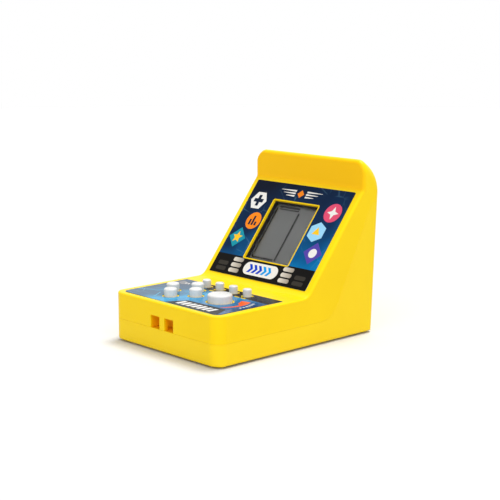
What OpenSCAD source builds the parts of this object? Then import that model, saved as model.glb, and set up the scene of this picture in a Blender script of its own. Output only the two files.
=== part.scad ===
// Electronic LCD game in the form of a small table-top arcade cabinet.
// The front faces -Y, +Z is up, and the origin is at the middle of the footprint, on the table.

/* [Case] */
// Width of the case from side to side
case_w = 70; // [69:0.5:72]
// Depth of the case from the front wall to the furthest point of the back
case_d = 98.4; // [98:0.2:100]
// Height of the button deck above the underside of the case
deck_h = 21.5; // [21:0.1:22]
// Height of the seam between the two shells above the underside of the case
seam_h = 9.6; // [9:0.1:10]
// Distance from the front wall to the foot of the screen slope
slope_start = 52.1; // [51.5:0.1:52.5]
// Angle of the screen slope from the horizontal
slope_angle = 51.5; // [51:0.1:52]
// Distance from the front wall to the face of the header above the screen
header_start = 87.3; // [87:0.1:87.6]
// Height of the header above the underside of the case, before its front edge is rounded
header_h = 80.4; // [80:0.2:81]
// Fall of the top of the header towards the back
top_fall = 35; // [33:1:36]
// Radius of the curve from the top of the header to the back wall
crown_r = 15; // [14.5:0.5:16]
// Lean of the back wall away from the front
back_lean = 2.8; // [2.4:0.1:3.2]
// Wall thickness of both shells
wall = 2; // [1.9:0.1:2.1]
// Height of the four feet
foot_h = 0.8; // [0.6:0.1:1]

/* [Rounding] */
// Radius of the upright front corners
corner_r = 5.5; // [5:0.5:6]
// Radius of the deck edges
deck_r = 0.8; // [0.7:0.1:1.2]
// Radius of the edges beside the screen slope and the header face
slope_r = 1.3; // [1.2:0.1:2]
// Radius of the side edges of the header's top
crown_side_r = 5.5; // [5:0.5:6]
// Radius of the upright back corners
back_r = 3; // [2.5:0.5:3.5]
// Radius of the edges round the underside
base_r = 1; // [0.6:0.1:1.2]
// Radius of the front edge of the header's top
header_r = 2; // [1.6:0.1:2.4]
// Radius of the hollow between the slope and the header face
brow_r = 1.5; // [1:0.1:2]
// Radius of the hollow between the deck and the slope
slope_foot_r = 6; // [5:0.5:6]

/* [Lanyard slots] */
// Width of each of the two slots in the front wall
slot_w = 5.9; // [5.6:0.1:6]
// Height of the slots above the seam
slot_h = 5.6; // [5.4:0.1:5.8]
// Width of the bar between the slots
bar_w = 3.3; // [3:0.1:3.6]
// Place of the bar between the slots, from the centre line
bar_x = -0.9; // [-1.4:0.1:0]
// Depth of the pocket behind the slots, from the front wall's outer face
pocket_d = 6.2; // [6:0.1:6.4]

/* [Display] */
// Width of the raised rim round the display window, outside
rim_w = 30; // [29.6:0.1:30.4]
// Length of the raised rim along the slope, outside
rim_l = 32.8; // [32.4:0.1:33.2]
// Distance from the foot of the slope to the rim
rim_start = 12.5; // [12:0.1:13]
// Thickness of the rim
rim_t = 0.5; // [0.4:0.1:0.7]
// Height of the rim above the slope
rim_h = 0.3; // [0.2:0.1:0.5]

/* [Labels] */
// Thickness of the printed films
label_t = 0.2; // [0.15:0.05:0.25]
// Width of the screen label
screen_label_w = 63.2; // [62:0.2:63.6]
// Length of the screen label along the slope
screen_label_l = 51.4; // [50.4:0.2:51.8]
// Distance from the foot of the slope to the screen label
screen_label_start = 2.9; // [2.9:0.1:3.3]
// Width of the deck label
deck_label_w = 63.4; // [62.6:0.2:64]
// Place of the deck label from the centre line
deck_label_x = 0.5; // [0:0.1:0.8]
// Distance from the front wall to the front edge of the deck label
deck_label_front = 2.5; // [2.2:0.1:2.8]
// Distance from the front wall to the back edge of the deck label
deck_label_back = 39.6; // [39:0.1:40.4]

/* [Buttons] */
// Middle of the direction buttons, from the centre line
dpad_x = -9; // [-9.4:0.1:-8.6]
// Middle of the direction buttons, from the front wall
dpad_depth = 19.5; // [19:0.1:20]
// Distance of each direction button from their middle
dpad_reach = 7.8; // [7.6:0.1:8]
// Diameter of the direction buttons
dpad_d = 5.8; // [5.5:0.1:6]
// Place of the rotate button, from the centre line
rotate_x = 14.3; // [14:0.1:14.6]
// Place of the rotate button, from the front wall
rotate_depth = 19.8; // [19.4:0.1:20.2]
// Diameter of the rotate button
rotate_d = 10.7; // [10:0.1:11.2]
// Place of the power button, from the centre line
power_x = -12.4; // [-13:0.1:-11.8]
// Place of the start button, from the centre line
start_x = -3.6; // [-4.2:0.1:-3]
// Place of the reset button, from the centre line
reset_x = 5.4; // [4.8:0.1:6]
// Place of the sound button, from the centre line
sound_x = 14.4; // [14:0.1:15]
// Distance of the four small buttons from the front wall
small_depth = 35.6; // [35.2:0.1:36]
// Diameter of the small buttons
small_d = 3.9; // [3.6:0.1:4.2]
// Height of the direction buttons and the rotate button above the deck
button_rise = 3.8; // [3.4:0.1:4]
// Height of the small buttons above the deck
small_rise = 3.6; // [3.2:0.1:3.8]
// Distance that a button moves when it is pressed
button_travel = 1.1; // [0.8:0.1:1.2]

/* [Hidden] */
$fn = 64;

// Main levels and faces
front_y = -case_d / 2;
deck_z = foot_h + deck_h;
seam_z = foot_h + seam_h;
deck_under = deck_z - wall;
slope_y = front_y + slope_start;
header_y = front_y + header_start;
header_z = deck_z + (header_y - slope_y) * tan(slope_angle);
top_z = foot_h + header_h;
fit_gap = 0.1;
touch_gap = 0.02;
join = 1;

// The crown's arc touches the back plane and the falling top line, and the back wall leans below it
crown_y = case_d / 2 - crown_r;
crown_z = top_z - (crown_r + (crown_y - header_y) * sin(top_fall)) / cos(top_fall);
back_foot_y = crown_y + (crown_r + (foot_h - crown_z) * sin(back_lean)) / cos(back_lean);
crown_point = meet([header_y, top_z], [cos(top_fall), -sin(top_fall)],
                   [back_foot_y, foot_h], [sin(back_lean), cos(back_lean)]);

// Side view of the case as [y, z, fillet radius, fillet steps, draw], hollows with a negative radius.
// Towards the sides a fillet shrinks with the lesser inset of its two walls, and where draw is 1 with the
// greater.
case_outline = [
    [front_y, foot_h, base_r, 3, 0],
    [back_foot_y, foot_h, base_r, 3, 1],
    [crown_point[0], crown_point[1], crown_r, 9, 1],
    [header_y, top_z, header_r, 5, 0],
    [header_y, header_z, -brow_r, 2, 0],
    [slope_y, deck_z, -slope_foot_r, 5, 0],
    [front_y, deck_z, deck_r, 4, 0],
];
// Rounding of the two side edges of each wall, in the order of the outline
side_rounding = [base_r, back_r, crown_side_r, slope_r, slope_r, deck_r, corner_r];
rounding_depth = max(side_rounding);
rounding_steps = 6;
least_r = 0.5;
// Point of the side view from which its whole outline is in sight
side_middle = [(header_y + slope_r + back_foot_y - back_r) / 2, deck_z / 2];
// The cavity follows the outline one wall further in, where the small fillets end as sharp corners
cavity_outline = [for (p = case_outline) p[2] > 0 && p[2] <= wall ? [p[0], p[1], 0, 0, 0] : p];

// Side view of the rear shell's share of the case, below and behind the seam
seam_rise_y = front_y + 68.1;
seam_top = [front_y + 92.05, seam_z + 48.4];
seam_end = [front_y + 102.05, seam_z + 55.8];
seam_bend_r = 12;
seam_top_r = 3;
beyond = 6;
rear_outline = [
    [front_y - beyond, -beyond, 0, 0, 0],
    [seam_end[0], -beyond, 0, 0, 0],
    [seam_end[0], seam_end[1], 0, 0, 0],
    [seam_top[0], seam_top[1], seam_top_r, 4, 0],
    [seam_rise_y, seam_z, -seam_bend_r, 8, 0],
    [front_y - beyond, seam_z, 0, 0, 0],
];

// Screws: case screws hold the shells together, board screws hold the boards in the front shell
case_screw_r = 1.3;
case_screw_l = 12;
case_head_r = 2.5;
case_head_h = 1.8;
board_screw_r = 0.95;
board_screw_l = 4.2;
board_head_r = 1.9;
board_head_h = 1.3;
thread_gap = 0.03;
post_r = 3;
socket_r = post_r + 0.8;
board_post_r = 2.3;
base_screw_at = [28.5, front_y + 6.5];
base_screw_z = 7;
base_post_top = seam_z + 0.8;
back_screw_x = 28.8;
back_screw_z = 54;
back_screw_y = 44;
back_post_end = 42.4;
back_post_l = 16;
counterbore_r = 2.9;

// Pocket behind the lanyard slots: the front shell brings its walls, the rear shell its floor
pocket_t = 1;
pocket_half = bar_w / 2 + slot_w;

// Feet and the tabs inside the rear shell's rim
foot_r = 3;
foot_x = 26;
foot_y = [front_y + 12, back_foot_y - 9];
tab_y = [front_y + 24, front_y + 48];
tab_t = 1.2;
tab_w = 6;
tab_rise = 2;
tab_root = 4;

// Display stack, as heights above the slope's surface
rim_mid = rim_start + rim_l / 2;
rim_corner_r = 1;
window_w = rim_w - 2 * rim_t;
window_l = rim_l - 2 * rim_t;
lining_top = rim_h - 1.2;
lining_t = 0.4;
view_w = window_w - 2 * lining_t - 2 * fit_gap;
view_l = window_l - 2 * lining_t - 2 * fit_gap;
clear_top = -2.2;
clear_t = 1;
clear_over = 1.1;
clear_w = view_w + 2 * clear_over;
clear_l = view_l + 2 * clear_over;
glass_top = clear_top - clear_t - 0.05;
glass_t = 1.8;
glass_w = 31;
glass_l = 36;
board_t = 1.2;
main_board_top = -6.6;
main_board_under = main_board_top - board_t;
main_board_w = 50;
main_board_l = 46;
main_post_x = 22.3;
main_post_reach = 20;
frame_w = 37;
frame_l = 42;
connector_t = 2;
connector_w = 27;
blob_r = 7;
blob_h = 1.6;
chip_x = [-18, -15, 12, 15];
chip_y = 3;
chip_h = 0.7;
capacitor_at = [17, -8];
capacitor_r = 2;
capacitor_h = 2;

// Button stack, from the deck down
hole_gap = 0.25;
flange_gap = 0.2;
flange_t = 1.1;
flange_over = 1;
stem_t = 0.7;
stem_share = 0.6;
stem_under = deck_under - flange_gap - flange_t - stem_t;
dome_gap = 0.05;
dome_h = button_travel + 0.7;
dome_foot = 0.8;
dome_crown = 0.4;
mat_t = 1;
mat_half = 24;
mat_front = front_y + 8;
mat_back = front_y + 40;
mat_under = stem_under - dome_gap - dome_h - mat_t;
button_board_top = mat_under;
button_board_under = button_board_top - board_t;
button_board_half = 30;
button_board_front = front_y + 11;
button_board_back = front_y + 42;
nose_half = 23;
nose_front = front_y + 7.5;
board_post_x = 27;
board_post_y = [front_y + 17, front_y + 38];
label_over = 0.9;
film_gap = 0.01;
screen_label_r = 0.6;
deck_label_r = corner_r - deck_label_front;
dpad_y = front_y + dpad_depth;
// Each button as [x, y, diameter, height above the deck]
button_places = [
    [dpad_x, dpad_y + dpad_reach, dpad_d, button_rise],
    [dpad_x, dpad_y - dpad_reach, dpad_d, button_rise],
    [dpad_x - dpad_reach, dpad_y, dpad_d, button_rise],
    [dpad_x + dpad_reach, dpad_y, dpad_d, button_rise],
    [rotate_x, front_y + rotate_depth, rotate_d, button_rise],
    for (x = [power_x, start_x, reset_x, sound_x]) [x, front_y + small_depth, small_d, small_rise],
];

// Battery bay, in the frame of the leaning back wall: x along the cells, y outwards, z up the wall
cell_r = 7.1;
cell_l = 50.5;
cell_edge = 0.5;
nub_l = 1.2;
nub_r = 2.7;
cell_y = -9.6;
cell_z = [11.8, 26.6];
bay_half = 29.2;
bay_wall = 1.5;
bay_front = -17.1;
bay_top = 35.2;
bay_floor = 0.4;
bay_slit = 0.8;
contact_t = 0.3;
contact_half = 3.8;
contact_tail = 1.4;
contact_gap = 0.02;
contact_x = bay_half - contact_t;
spring_end = contact_x - contact_gap - cell_l;
door_half = 28.7;
door_low = 4.4;
door_high = 34.6;
door_gap = 0.3;
door_tab_half = 6;
door_tab_h = 3;
groove_depth = 0.5;
groove_w = 1.2;
groove_pitch = 2.4;
hook_x = 16;
hook_w = 8;
hook_t = 1.2;
hook_gap = 0.2;
hook_drop = 2.2;
hook_rise = 2;
hook_root = 0.5;
spring_wire = 0.7;
spring_turns = 4;
spring_big = 4.2;
spring_small = 2.6;

// Buzzer behind the sound holes, in the same frame
buzzer_z = 47;
buzzer_r = 10.3;
buzzer_y = -3.9;
buzzer_plate_t = 0.3;
buzzer_disc_t = 0.25;
buzzer_disc_r = 7.2;
buzzer_ring_t = 1.4;
buzzer_ring_h = 3.4;
sound_hole_r = 0.9;
sound_ring_r = 4.5;

// Wires and flat cable: hand-laid routes from the bay, the buzzer and the button board to the main board
wire_r = 0.6;
red_route = [[-28.2, front_y + 76.8, 28.3], [-27.5, front_y + 74.5, 28], [-22, front_y + 71.5, 26.5],
             [-15.5, front_y + 70.4, 25.6], [-14, front_y + 69.2, 26.6], [-14, front_y + 67, 28.4]];
black_route = [[-28.2, front_y + 76, 13.6], [-27, front_y + 73, 14.5], [-20, front_y + 71, 18],
               [-11.5, front_y + 68.6, 22.2], [-10, front_y + 66.8, 23.4], [-10, front_y + 64.6, 25.2]];
buzzer_route = [[3, front_y + 92.2, 48], [4, front_y + 89.5, 47.2], [6, front_y + 86, 45],
                [6, front_y + 84.2, 45.3], [6, front_y + 81.9, 47.1]];
cable_route = [[0, front_y + 36, 13.78], [0, front_y + 41, 13.78], [0, front_y + 47, 13.5],
               [0, front_y + 54, 14.4], [0, front_y + 59.5, 18.2], [0, front_y + 62.9, 22.6],
               [0, front_y + 64.5, 24.6]];
cable_w = 8;
cable_t = 0.9;

// Plane geometry
function unit(v) = v / norm(v);
function left(v) = [-v[1], v[0]];
function across(a, b) = a[0] * b[1] - a[1] * b[0];
function spin(v, t) = [v[0] * cos(t) - v[1] * sin(t), v[0] * sin(t) + v[1] * cos(t)];
function meet(p, d, q, e) = p + d * across(q - p, e) / across(d, e);
function at(list, i) = list[(i + len(list)) % len(list)];
function spot(v) = [v[0], v[1]];

// Points of one rounded corner after each of its two walls has moved inwards by its own inset
function corner(v, i, insets) =
    let (
        into = unit(spot(v[i]) - spot(at(v, i - 1))),
        out = unit(spot(at(v, i + 1)) - spot(v[i])),
        moved = [at(insets, i - 1), insets[i]],
        drawn = v[i][4] == 1 ? max(moved) : min(moved),
        r = v[i][2],
        radius = r > 0 ? max(r - drawn, least_r) : (r < 0 ? r - drawn : 0),
        middle = meet(spot(v[i]) + left(into) * (moved[0] + radius), into,
                      spot(v[i]) + left(out) * (moved[1] + radius), out),
        turn = atan2(across(into, out), into * out),
        steps = v[i][3]
    )
    [for (k = [0:steps]) middle - radius * spin(left(into), steps == 0 ? 0 : turn * k / steps)];
function rounded(v, insets) = [for (i = [0:len(v) - 1]) each corner(v, i, insets)];
function even(v, inset) = [for (p = v) inset];

// Inset of a wall at a distance from the side of the case, for a rounded side edge
function edge_inset(r, u) = u >= r ? 0 : r - sqrt(r * r - (r - u) * (r - u));
function ring(u) = rounded(case_outline, [for (r = side_rounding) edge_inset(r, u)]);

// Smooth route through hand-laid points, and a tube or strip that follows it
function curve(p, i, t) =
    let (a = p[max(i - 1, 0)], b = p[i], c = p[i + 1], d = p[min(i + 2, len(p) - 1)])
    b + t * (c - a) / 2 + t * t * (a - 2.5 * b + 2 * c - d / 2) + t * t * t * (1.5 * (b - c) + (d - a) / 2);
function route(p, n) = [for (i = [0:len(p) - 2]) for (k = [0:n - 1]) curve(p, i, k / n), p[len(p) - 1]];
function heading(p, i) = unit(p[min(i + 1, len(p) - 1)] - p[max(i - 1, 0)]);
function swept(p, section, side) =
    [for (i = [0:len(p) - 1])
        let (
            ahead = heading(p, i),
            up = unit(cross(ahead, side)),
            right = cross(up, ahead)
        )
        for (s = section) p[i] + right * s[0] + up * s[1]];
function round_section(r, n) = [for (k = [0:n - 1]) r * [cos(360 * k / n), sin(360 * k / n)]];

// Closed skin over rings of m points, with its two end faces fanned out from their middles
module skin(points, m, middles) {
    n = len(points);
    rings = n / m;
    walls = [for (j = [0:rings - 2]) for (i = [0:m - 1])
        let (a = j * m + i, b = j * m + (i + 1) % m, c = b + m, d = a + m)
        each [[a, d, c], [a, c, b]]];
    ends = [for (i = [0:m - 1])
        let (next = (i + 1) % m)
        each [[n, i, next], [n + 1, n - m + next, n - m + i]]];
    polyhedron(concat(points, middles), concat(walls, ends), convexity = 6);
}

module sweep(path, section, side) {
    skin(swept(path, section, side), len(section), [path[0], path[len(path) - 1]]);
}

module sideways(half) {
    rotate([90, 0, 90])
        translate([0, 0, -half])
            linear_extrude(2 * half) children();
}

module plate(w, l, low, high) {
    translate([-w / 2, -l / 2, low])
        cube([w, l, high - low]);
}

module rounded_plate(w, l, r, low, high) {
    translate([0, 0, low])
        linear_extrude(high - low) rounded_square(w, l, r);
}

module rounded_square(w, l, r) {
    square([w - 2 * r, l], center = true);
    square([w, l - 2 * r], center = true);
    for (x = [-1, 1], y = [-1, 1]) translate([x * (w / 2 - r), y * (l / 2 - r)]) circle(r);
}

module tube(r, bore, low, high) {
    difference() {
        translate([0, 0, low]) cylinder(r = r, h = high - low);
        translate([0, 0, low - join]) cylinder(r = bore, h = high - low + 2 * join);
    }
}

module on_slope() {
    translate([0, slope_y, deck_z])
        rotate([slope_angle, 0, 0]) children();
}

module on_display() {
    on_slope()
        translate([0, rim_mid, 0]) children();
}

module on_back() {
    translate([0, back_foot_y, foot_h])
        rotate([-back_lean, 0, 0]) children();
}

module both_sides() {
    for (s = [-1, 1]) scale([s, 1, 1]) children();
}

module backwards(x, y, z) {
    translate([x, y, z])
        rotate([-90, 0, 0]) children();
}

// Whole outer form of the case, from rings whose walls draw in towards the two sides
module case_form() {
    near = [for (k = [0:rounding_steps]) rounding_depth * pow(k / rounding_steps, 2)];
    depths = concat(near, [for (k = [rounding_steps:-1:0]) near[k]]);
    half = case_w / 2;
    points = [for (j = [0:len(depths) - 1])
        let (x = j <= rounding_steps ? depths[j] - half : half - depths[j])
        for (p = ring(depths[j])) [x, p[0], p[1]]];
    skin(points, len(ring(0)), [for (x = [-half, half]) [x, side_middle[0], side_middle[1]]]);
}

module cavity() {
    r = corner_r - wall;
    half = case_w / 2 - wall;
    intersection() {
        sideways(half) polygon(rounded(cavity_outline, even(cavity_outline, wall)));
        translate([0, 0, -join])
            linear_extrude(2 * top_z)
                translate([0, wall / 2])
                    rounded_square(2 * half, case_d - wall, r);
    }
}

module rear_share() {
    sideways(case_w) polygon(rounded(rear_outline, even(rear_outline, 0)));
}

module display_rim() {
    on_display()
        difference() {
            rounded_plate(rim_w, rim_l, rim_corner_r, -wall / 2, rim_h);
            plate(window_w, window_l, -wall, rim_h + join);
        }
}

module front_posts() {
    both_sides()
        translate([base_screw_at[0], base_screw_at[1], 0])
            tube(post_r, case_screw_r + thread_gap, base_post_top + fit_gap, deck_under + join);
    both_sides()
        for (y = board_post_y)
            translate([board_post_x, y, 0])
                tube(board_post_r, board_screw_r + thread_gap, button_board_top, deck_under + join);
    on_display()
        for (x = [-1, 1], y = [-1, 1])
            translate([x * main_post_x, y * main_post_reach, 0])
                difference() {
                    translate([0, 0, main_board_top])
                        cylinder(r = board_post_r, h = -main_board_top - wall / 2);
                    translate([0, 0, main_board_top - join])
                        cylinder(r = board_screw_r + thread_gap, h = board_screw_l + join);
                }
    difference() {
        both_sides()
            backwards(back_screw_x, back_post_end - back_post_l, back_screw_z)
                tube(post_r, case_screw_r + thread_gap, 0, back_post_l);
        on_slope()
            translate([-case_w / 2, 0, -wall / 2]) cube([case_w, case_w, case_w]);
    }
}

module lanyard_pocket() {
    outer = pocket_half + pocket_t;
    difference() {
        translate([bar_x - outer, front_y + wall / 2, seam_z + fit_gap])
            cube([2 * outer, pocket_d + pocket_t - wall / 2, slot_h + pocket_t - fit_gap]);
        translate([bar_x - pocket_half, front_y, seam_z - join])
            cube([2 * pocket_half, pocket_d, slot_h + join]);
    }
}

module front_shell() {
    color("gold") {
        difference() {
            union() {
                difference() {
                    case_form();
                    cavity();
                    rear_share();
                }
                display_rim();
            }
            on_display() plate(window_w, window_l, -2 * wall, rim_h + join);
            for (b = button_places)
                translate([b[0], b[1], deck_under - join])
                    cylinder(d = b[2] + 2 * hole_gap, h = wall + 2 * join);
            translate([bar_x, front_y - join, seam_z - join])
                both_sides()
                    translate([bar_w / 2, 0, 0]) cube([slot_w, wall + 2 * join, slot_h + join]);
        }
        front_posts();
        lanyard_pocket();
    }
}

module bay_walls() {
    on_back() {
        both_sides()
            translate([bay_half, bay_front - bay_wall, bay_floor])
                cube([bay_wall, -bay_front + bay_wall - wall / 2, bay_top + bay_wall - bay_floor]);
        translate([-bay_half - bay_wall, bay_front - bay_wall, bay_top])
            cube([2 * (bay_half + bay_wall), -bay_front + bay_wall - wall / 2, bay_wall]);
        translate([bay_slit - bay_half, bay_front - bay_wall, bay_floor])
            cube([2 * (bay_half - bay_slit), bay_wall, bay_top + bay_wall - bay_floor]);
    }
}

module rear_posts() {
    both_sides()
        translate([base_screw_at[0], base_screw_at[1], wall / 2 + foot_h])
            cylinder(r = socket_r, h = base_post_top - wall / 2 - foot_h);
    both_sides()
        backwards(back_screw_x, back_post_end + fit_gap, back_screw_z)
            cylinder(r = socket_r, h = case_d / 2 - back_post_end - 3 * wall / 4);
    on_back()
        translate([0, -wall / 2, buzzer_z])
            rotate([90, 0, 0])
                tube(buzzer_r + hole_gap + buzzer_ring_t, buzzer_r + hole_gap, 0, buzzer_ring_h);
}

module rear_screw_holes() {
    both_sides() {
        translate([base_screw_at[0], base_screw_at[1], -join]) {
            cylinder(r = case_screw_r + hole_gap, h = base_post_top + 2 * join);
            cylinder(r = counterbore_r, h = base_screw_z + join);
        }
        backwards(back_screw_x, 0, back_screw_z) {
            cylinder(r = case_screw_r + hole_gap, h = case_d);
            translate([0, 0, back_screw_y]) cylinder(r = counterbore_r, h = case_d);
        }
    }
}

module door_opening() {
    on_back() {
        translate([-door_half - door_gap, -2 * wall, door_low - door_gap])
            cube([2 * (door_half + door_gap), 4 * wall, door_high - door_low + 2 * door_gap]);
        translate([-door_tab_half - door_gap, -wall - join, door_high])
            cube([2 * (door_tab_half + door_gap), 3 * wall, door_tab_h + door_gap]);
    }
}

module sound_holes() {
    on_back()
        translate([0, 0, buzzer_z])
            rotate([90, 0, 0]) {
                translate([0, 0, -wall]) cylinder(r = sound_hole_r, h = 3 * wall);
                for (k = [0:5])
                    rotate([0, 0, 60 * k])
                        translate([sound_ring_r, 0, -wall]) cylinder(r = sound_hole_r, h = 3 * wall);
            }
}

// Tabs inside the rear shell's rim that line the two shells up
module seam_tabs() {
    half = case_w / 2 - wall;
    both_sides()
        for (y = tab_y) {
            translate([half - tab_t - fit_gap, y, seam_z - tab_root])
                cube([tab_t, tab_w, tab_root + tab_rise]);
            translate([half - tab_t, y, seam_z - tab_root])
                cube([tab_t + wall / 2, tab_w, tab_root - fit_gap]);
        }
}

module lanyard_floor() {
    outer = pocket_half + pocket_t;
    translate([bar_x - outer, front_y + wall / 2, seam_z - pocket_t])
        cube([2 * outer, pocket_d + pocket_t - wall / 2, pocket_t]);
}

module feet() {
    both_sides()
        for (y = foot_y)
            translate([foot_x, y, 0]) cylinder(r = foot_r, h = foot_h + wall / 2);
}

module rear_shell() {
    color("gold")
        difference() {
            union() {
                difference() {
                    intersection() {
                        case_form();
                        rear_share();
                    }
                    cavity();
                }
                bay_walls();
                rear_posts();
                seam_tabs();
                lanyard_floor();
                feet();
            }
            rear_screw_holes();
            door_opening();
            sound_holes();
        }
}

module battery_door() {
    color("gold")
        on_back()
            difference() {
                union() {
                    translate([-door_half, -wall, door_low])
                        cube([2 * door_half, wall, door_high - door_low]);
                    translate([-door_tab_half, -wall, door_high - join])
                        cube([2 * door_tab_half, wall, door_tab_h + join]);
                    both_sides()
                        translate([hook_x - hook_w / 2, -wall - hook_gap - hook_t, door_low]) {
                            translate([0, 0, -hook_drop]) cube([hook_w, hook_t, hook_drop + hook_rise]);
                            translate([0, 0, hook_root])
                                cube([hook_w, hook_t + hook_gap + wall / 4, hook_rise - hook_root]);
                        }
                }
                for (k = [1:3])
                    translate([-door_tab_half, -groove_depth, door_high - k * groove_pitch])
                        cube([2 * door_tab_half, 2 * groove_depth, groove_w]);
            }
}

module screen_label() {
    color("midnightblue")
        on_slope()
            difference() {
                translate([0, screen_label_start + screen_label_l / 2, 0])
                    rounded_plate(screen_label_w, screen_label_l, screen_label_r, film_gap, label_t);
                translate([0, rim_mid, 0])
                    rounded_plate(rim_w + 2 * fit_gap, rim_l + 2 * fit_gap, rim_corner_r,
                                  -label_t, 2 * label_t);
            }
}

module deck_label() {
    l = deck_label_back - deck_label_front;
    color("royalblue")
        translate([deck_label_x, front_y + deck_label_front + l / 2, deck_z])
            difference() {
                union() {
                    rounded_plate(deck_label_w, l, deck_label_r, film_gap, label_t);
                    translate([-deck_label_w / 2, 0, film_gap])
                        cube([deck_label_w, l / 2, label_t - film_gap]);
                }
                for (b = button_places)
                    translate([b[0] - deck_label_x, b[1] - front_y - deck_label_front - l / 2, -label_t])
                        cylinder(d = b[2] + 2 * label_over, h = 3 * label_t);
            }
}

module display_frame() {
    color("black")
        on_display()
            difference() {
                union() {
                    plate(frame_w, frame_l, main_board_top, -wall - touch_gap);
                    plate(window_w - 2 * fit_gap, window_l - 2 * fit_gap, -wall - join, lining_top);
                }
                plate(view_w, view_l, main_board_top - join, join);
                plate(clear_w + 2 * fit_gap, clear_l + 2 * fit_gap, main_board_top - join, clear_top);
                plate(glass_w + 2 * fit_gap, glass_l + 2 * fit_gap,
                      main_board_top - join, glass_top + touch_gap);
            }
}

module display_window() {
    color("white", 0.3)
        on_display() plate(clear_w, clear_l, clear_top - clear_t, clear_top - touch_gap);
}

module display_glass() {
    color("dimgray")
        on_display()
            plate(glass_w, glass_l, glass_top - glass_t, glass_top);
}

module display_connector() {
    color("hotpink")
        on_display()
            translate([0, connector_t - glass_l / 2, 0])
                plate(connector_w, connector_t, main_board_top + touch_gap,
                      glass_top - glass_t - touch_gap);
}

module board_chips() {
    dome = (blob_r * blob_r + blob_h * blob_h) / (2 * blob_h);
    intersection() {
        translate([0, 0, main_board_under - blob_h + dome]) sphere(dome);
        translate([0, 0, main_board_under - 2 * blob_h])
            cylinder(r = 2 * blob_r, h = 2 * blob_h + board_t / 2);
    }
    for (x = chip_x)
        translate([x, chip_y, 0])
            plate(2 * chip_h, 3 * chip_h, main_board_under - chip_h, main_board_under + board_t / 2);
    translate([capacitor_at[0], capacitor_at[1], main_board_under - capacitor_h])
        cylinder(r = capacitor_r, h = capacitor_h + board_t / 2);
}

module main_board() {
    color("seagreen")
        on_display()
            union() {
                difference() {
                    plate(main_board_w, main_board_l, main_board_under, main_board_top);
                    for (x = [-1, 1], y = [-1, 1])
                        translate([x * main_post_x, y * main_post_reach, main_board_under - join])
                            cylinder(r = board_screw_r + hole_gap, h = board_t + 2 * join);
                }
                board_chips();
            }
}

module button_board() {
    color("seagreen")
        difference() {
            translate([0, 0, button_board_under])
                linear_extrude(board_t) {
                    translate([-nose_half, nose_front])
                        square([2 * nose_half, button_board_back - nose_front]);
                    translate([-button_board_half, button_board_front])
                        square([2 * button_board_half, button_board_back - button_board_front]);
                }
            both_sides()
                for (y = board_post_y)
                    translate([board_post_x, y, button_board_under - join])
                        cylinder(r = board_screw_r + hole_gap, h = board_t + 2 * join);
        }
}

module keypad() {
    color("lightgray") {
        translate([-mat_half, mat_front, mat_under]) cube([2 * mat_half, mat_back - mat_front, mat_t]);
        for (b = button_places)
            translate([b[0], b[1], mat_under + mat_t / 2])
                cylinder(r1 = b[2] / 2 + dome_foot, r2 = stem_share * b[2] / 2 + dome_crown,
                         h = dome_h + mat_t / 2);
    }
}

module flat_cable() {
    half = [cable_w, cable_t] / 2;
    section = [-half, [half[0], -half[1]], half, [-half[0], half[1]]];
    color("lightsteelblue") sweep(route(cable_route, 3), section, [1, 0, 0]);
}

// One button: cap with a rounded top edge, flange below the deck and stem on its dome
module button(place) {
    r = place[2] / 2;
    edge = min(0.9, r / 3);
    top = deck_z + place[3];
    flange_top = deck_under - flange_gap;
    flange_low = flange_top - flange_t;
    arc = [for (k = [0:6]) [r - edge + edge * cos(15 * k), top - edge + edge * sin(15 * k)]];
    color("white")
        translate([place[0], place[1], 0])
            rotate_extrude()
                polygon(concat([[0, stem_under], [stem_share * r, stem_under],
                                [stem_share * r, flange_low], [r + flange_over, flange_low],
                                [r + flange_over, flange_top], [r, flange_top]],
                               arc, [[0, top]]));
}

module button_up() {
    button(button_places[0]);
}

module button_down() {
    button(button_places[1]);
}

module button_left() {
    button(button_places[2]);
}

module button_right() {
    button(button_places[3]);
}

module button_rotate() {
    button(button_places[4]);
}

module button_power() {
    button(button_places[5]);
}

module button_start() {
    button(button_places[6]);
}

module button_reset() {
    button(button_places[7]);
}

module button_sound() {
    button(button_places[8]);
}

// One cell with its positive end towards -X
module cell(z) {
    on_back()
        translate([-contact_x + contact_gap, cell_y, z])
            rotate([0, 90, 0])
                rotate_extrude()
                    polygon([[0, 0], [nub_r, 0], [nub_r, nub_l],
                             [cell_r - cell_edge, nub_l], [cell_r, nub_l + cell_edge],
                             [cell_r, cell_l - cell_edge], [cell_r - cell_edge, cell_l], [0, cell_l]]);
}

module cell_upper() {
    color("darkgray") cell(cell_z[1]);
}

module cell_lower() {
    color("darkgray") scale([-1, 1, 1]) cell(cell_z[0]);
}

// Conical coil between a cell's flat end and its contact plate
module battery_spring(z) {
    run = contact_x + spring_end - spring_wire - 2 * contact_gap;
    spring_outer = contact_x - spring_wire / 2 - contact_gap;
    path = [for (k = [0:8 * spring_turns])
        let (
            share = k / (8 * spring_turns),
            r = spring_small + (spring_big - spring_small) * share
        )
        [spring_outer - run * (1 - share), cell_y + r * cos(45 * k), z + r * sin(45 * k)]];
    gaps = [for (i = [0:len(path) - 9]) norm(path[i + 8] - path[i]) - spring_wire];
    echo(least_spring_gap = min(gaps));
    on_back() sweep(path, round_section(spring_wire / 2, 6), [1, 0, 0]);
}

module battery_springs() {
    color("silver") {
        battery_spring(cell_z[1]);
        scale([-1, 1, 1]) battery_spring(cell_z[0]);
    }
}

module battery_contacts() {
    tail_y = bay_front - bay_wall - contact_tail;
    color("silver")
        on_back() {
            translate([contact_x, cell_y - contact_half, cell_z[0] - contact_half])
                cube([contact_t, 2 * contact_half, cell_z[1] - cell_z[0] + 2 * contact_half]);
            for (z = cell_z)
                translate([-bay_half, tail_y, z - contact_half])
                    cube([contact_t, cell_y + contact_half - tail_y, 2 * contact_half]);
        }
}

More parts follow.
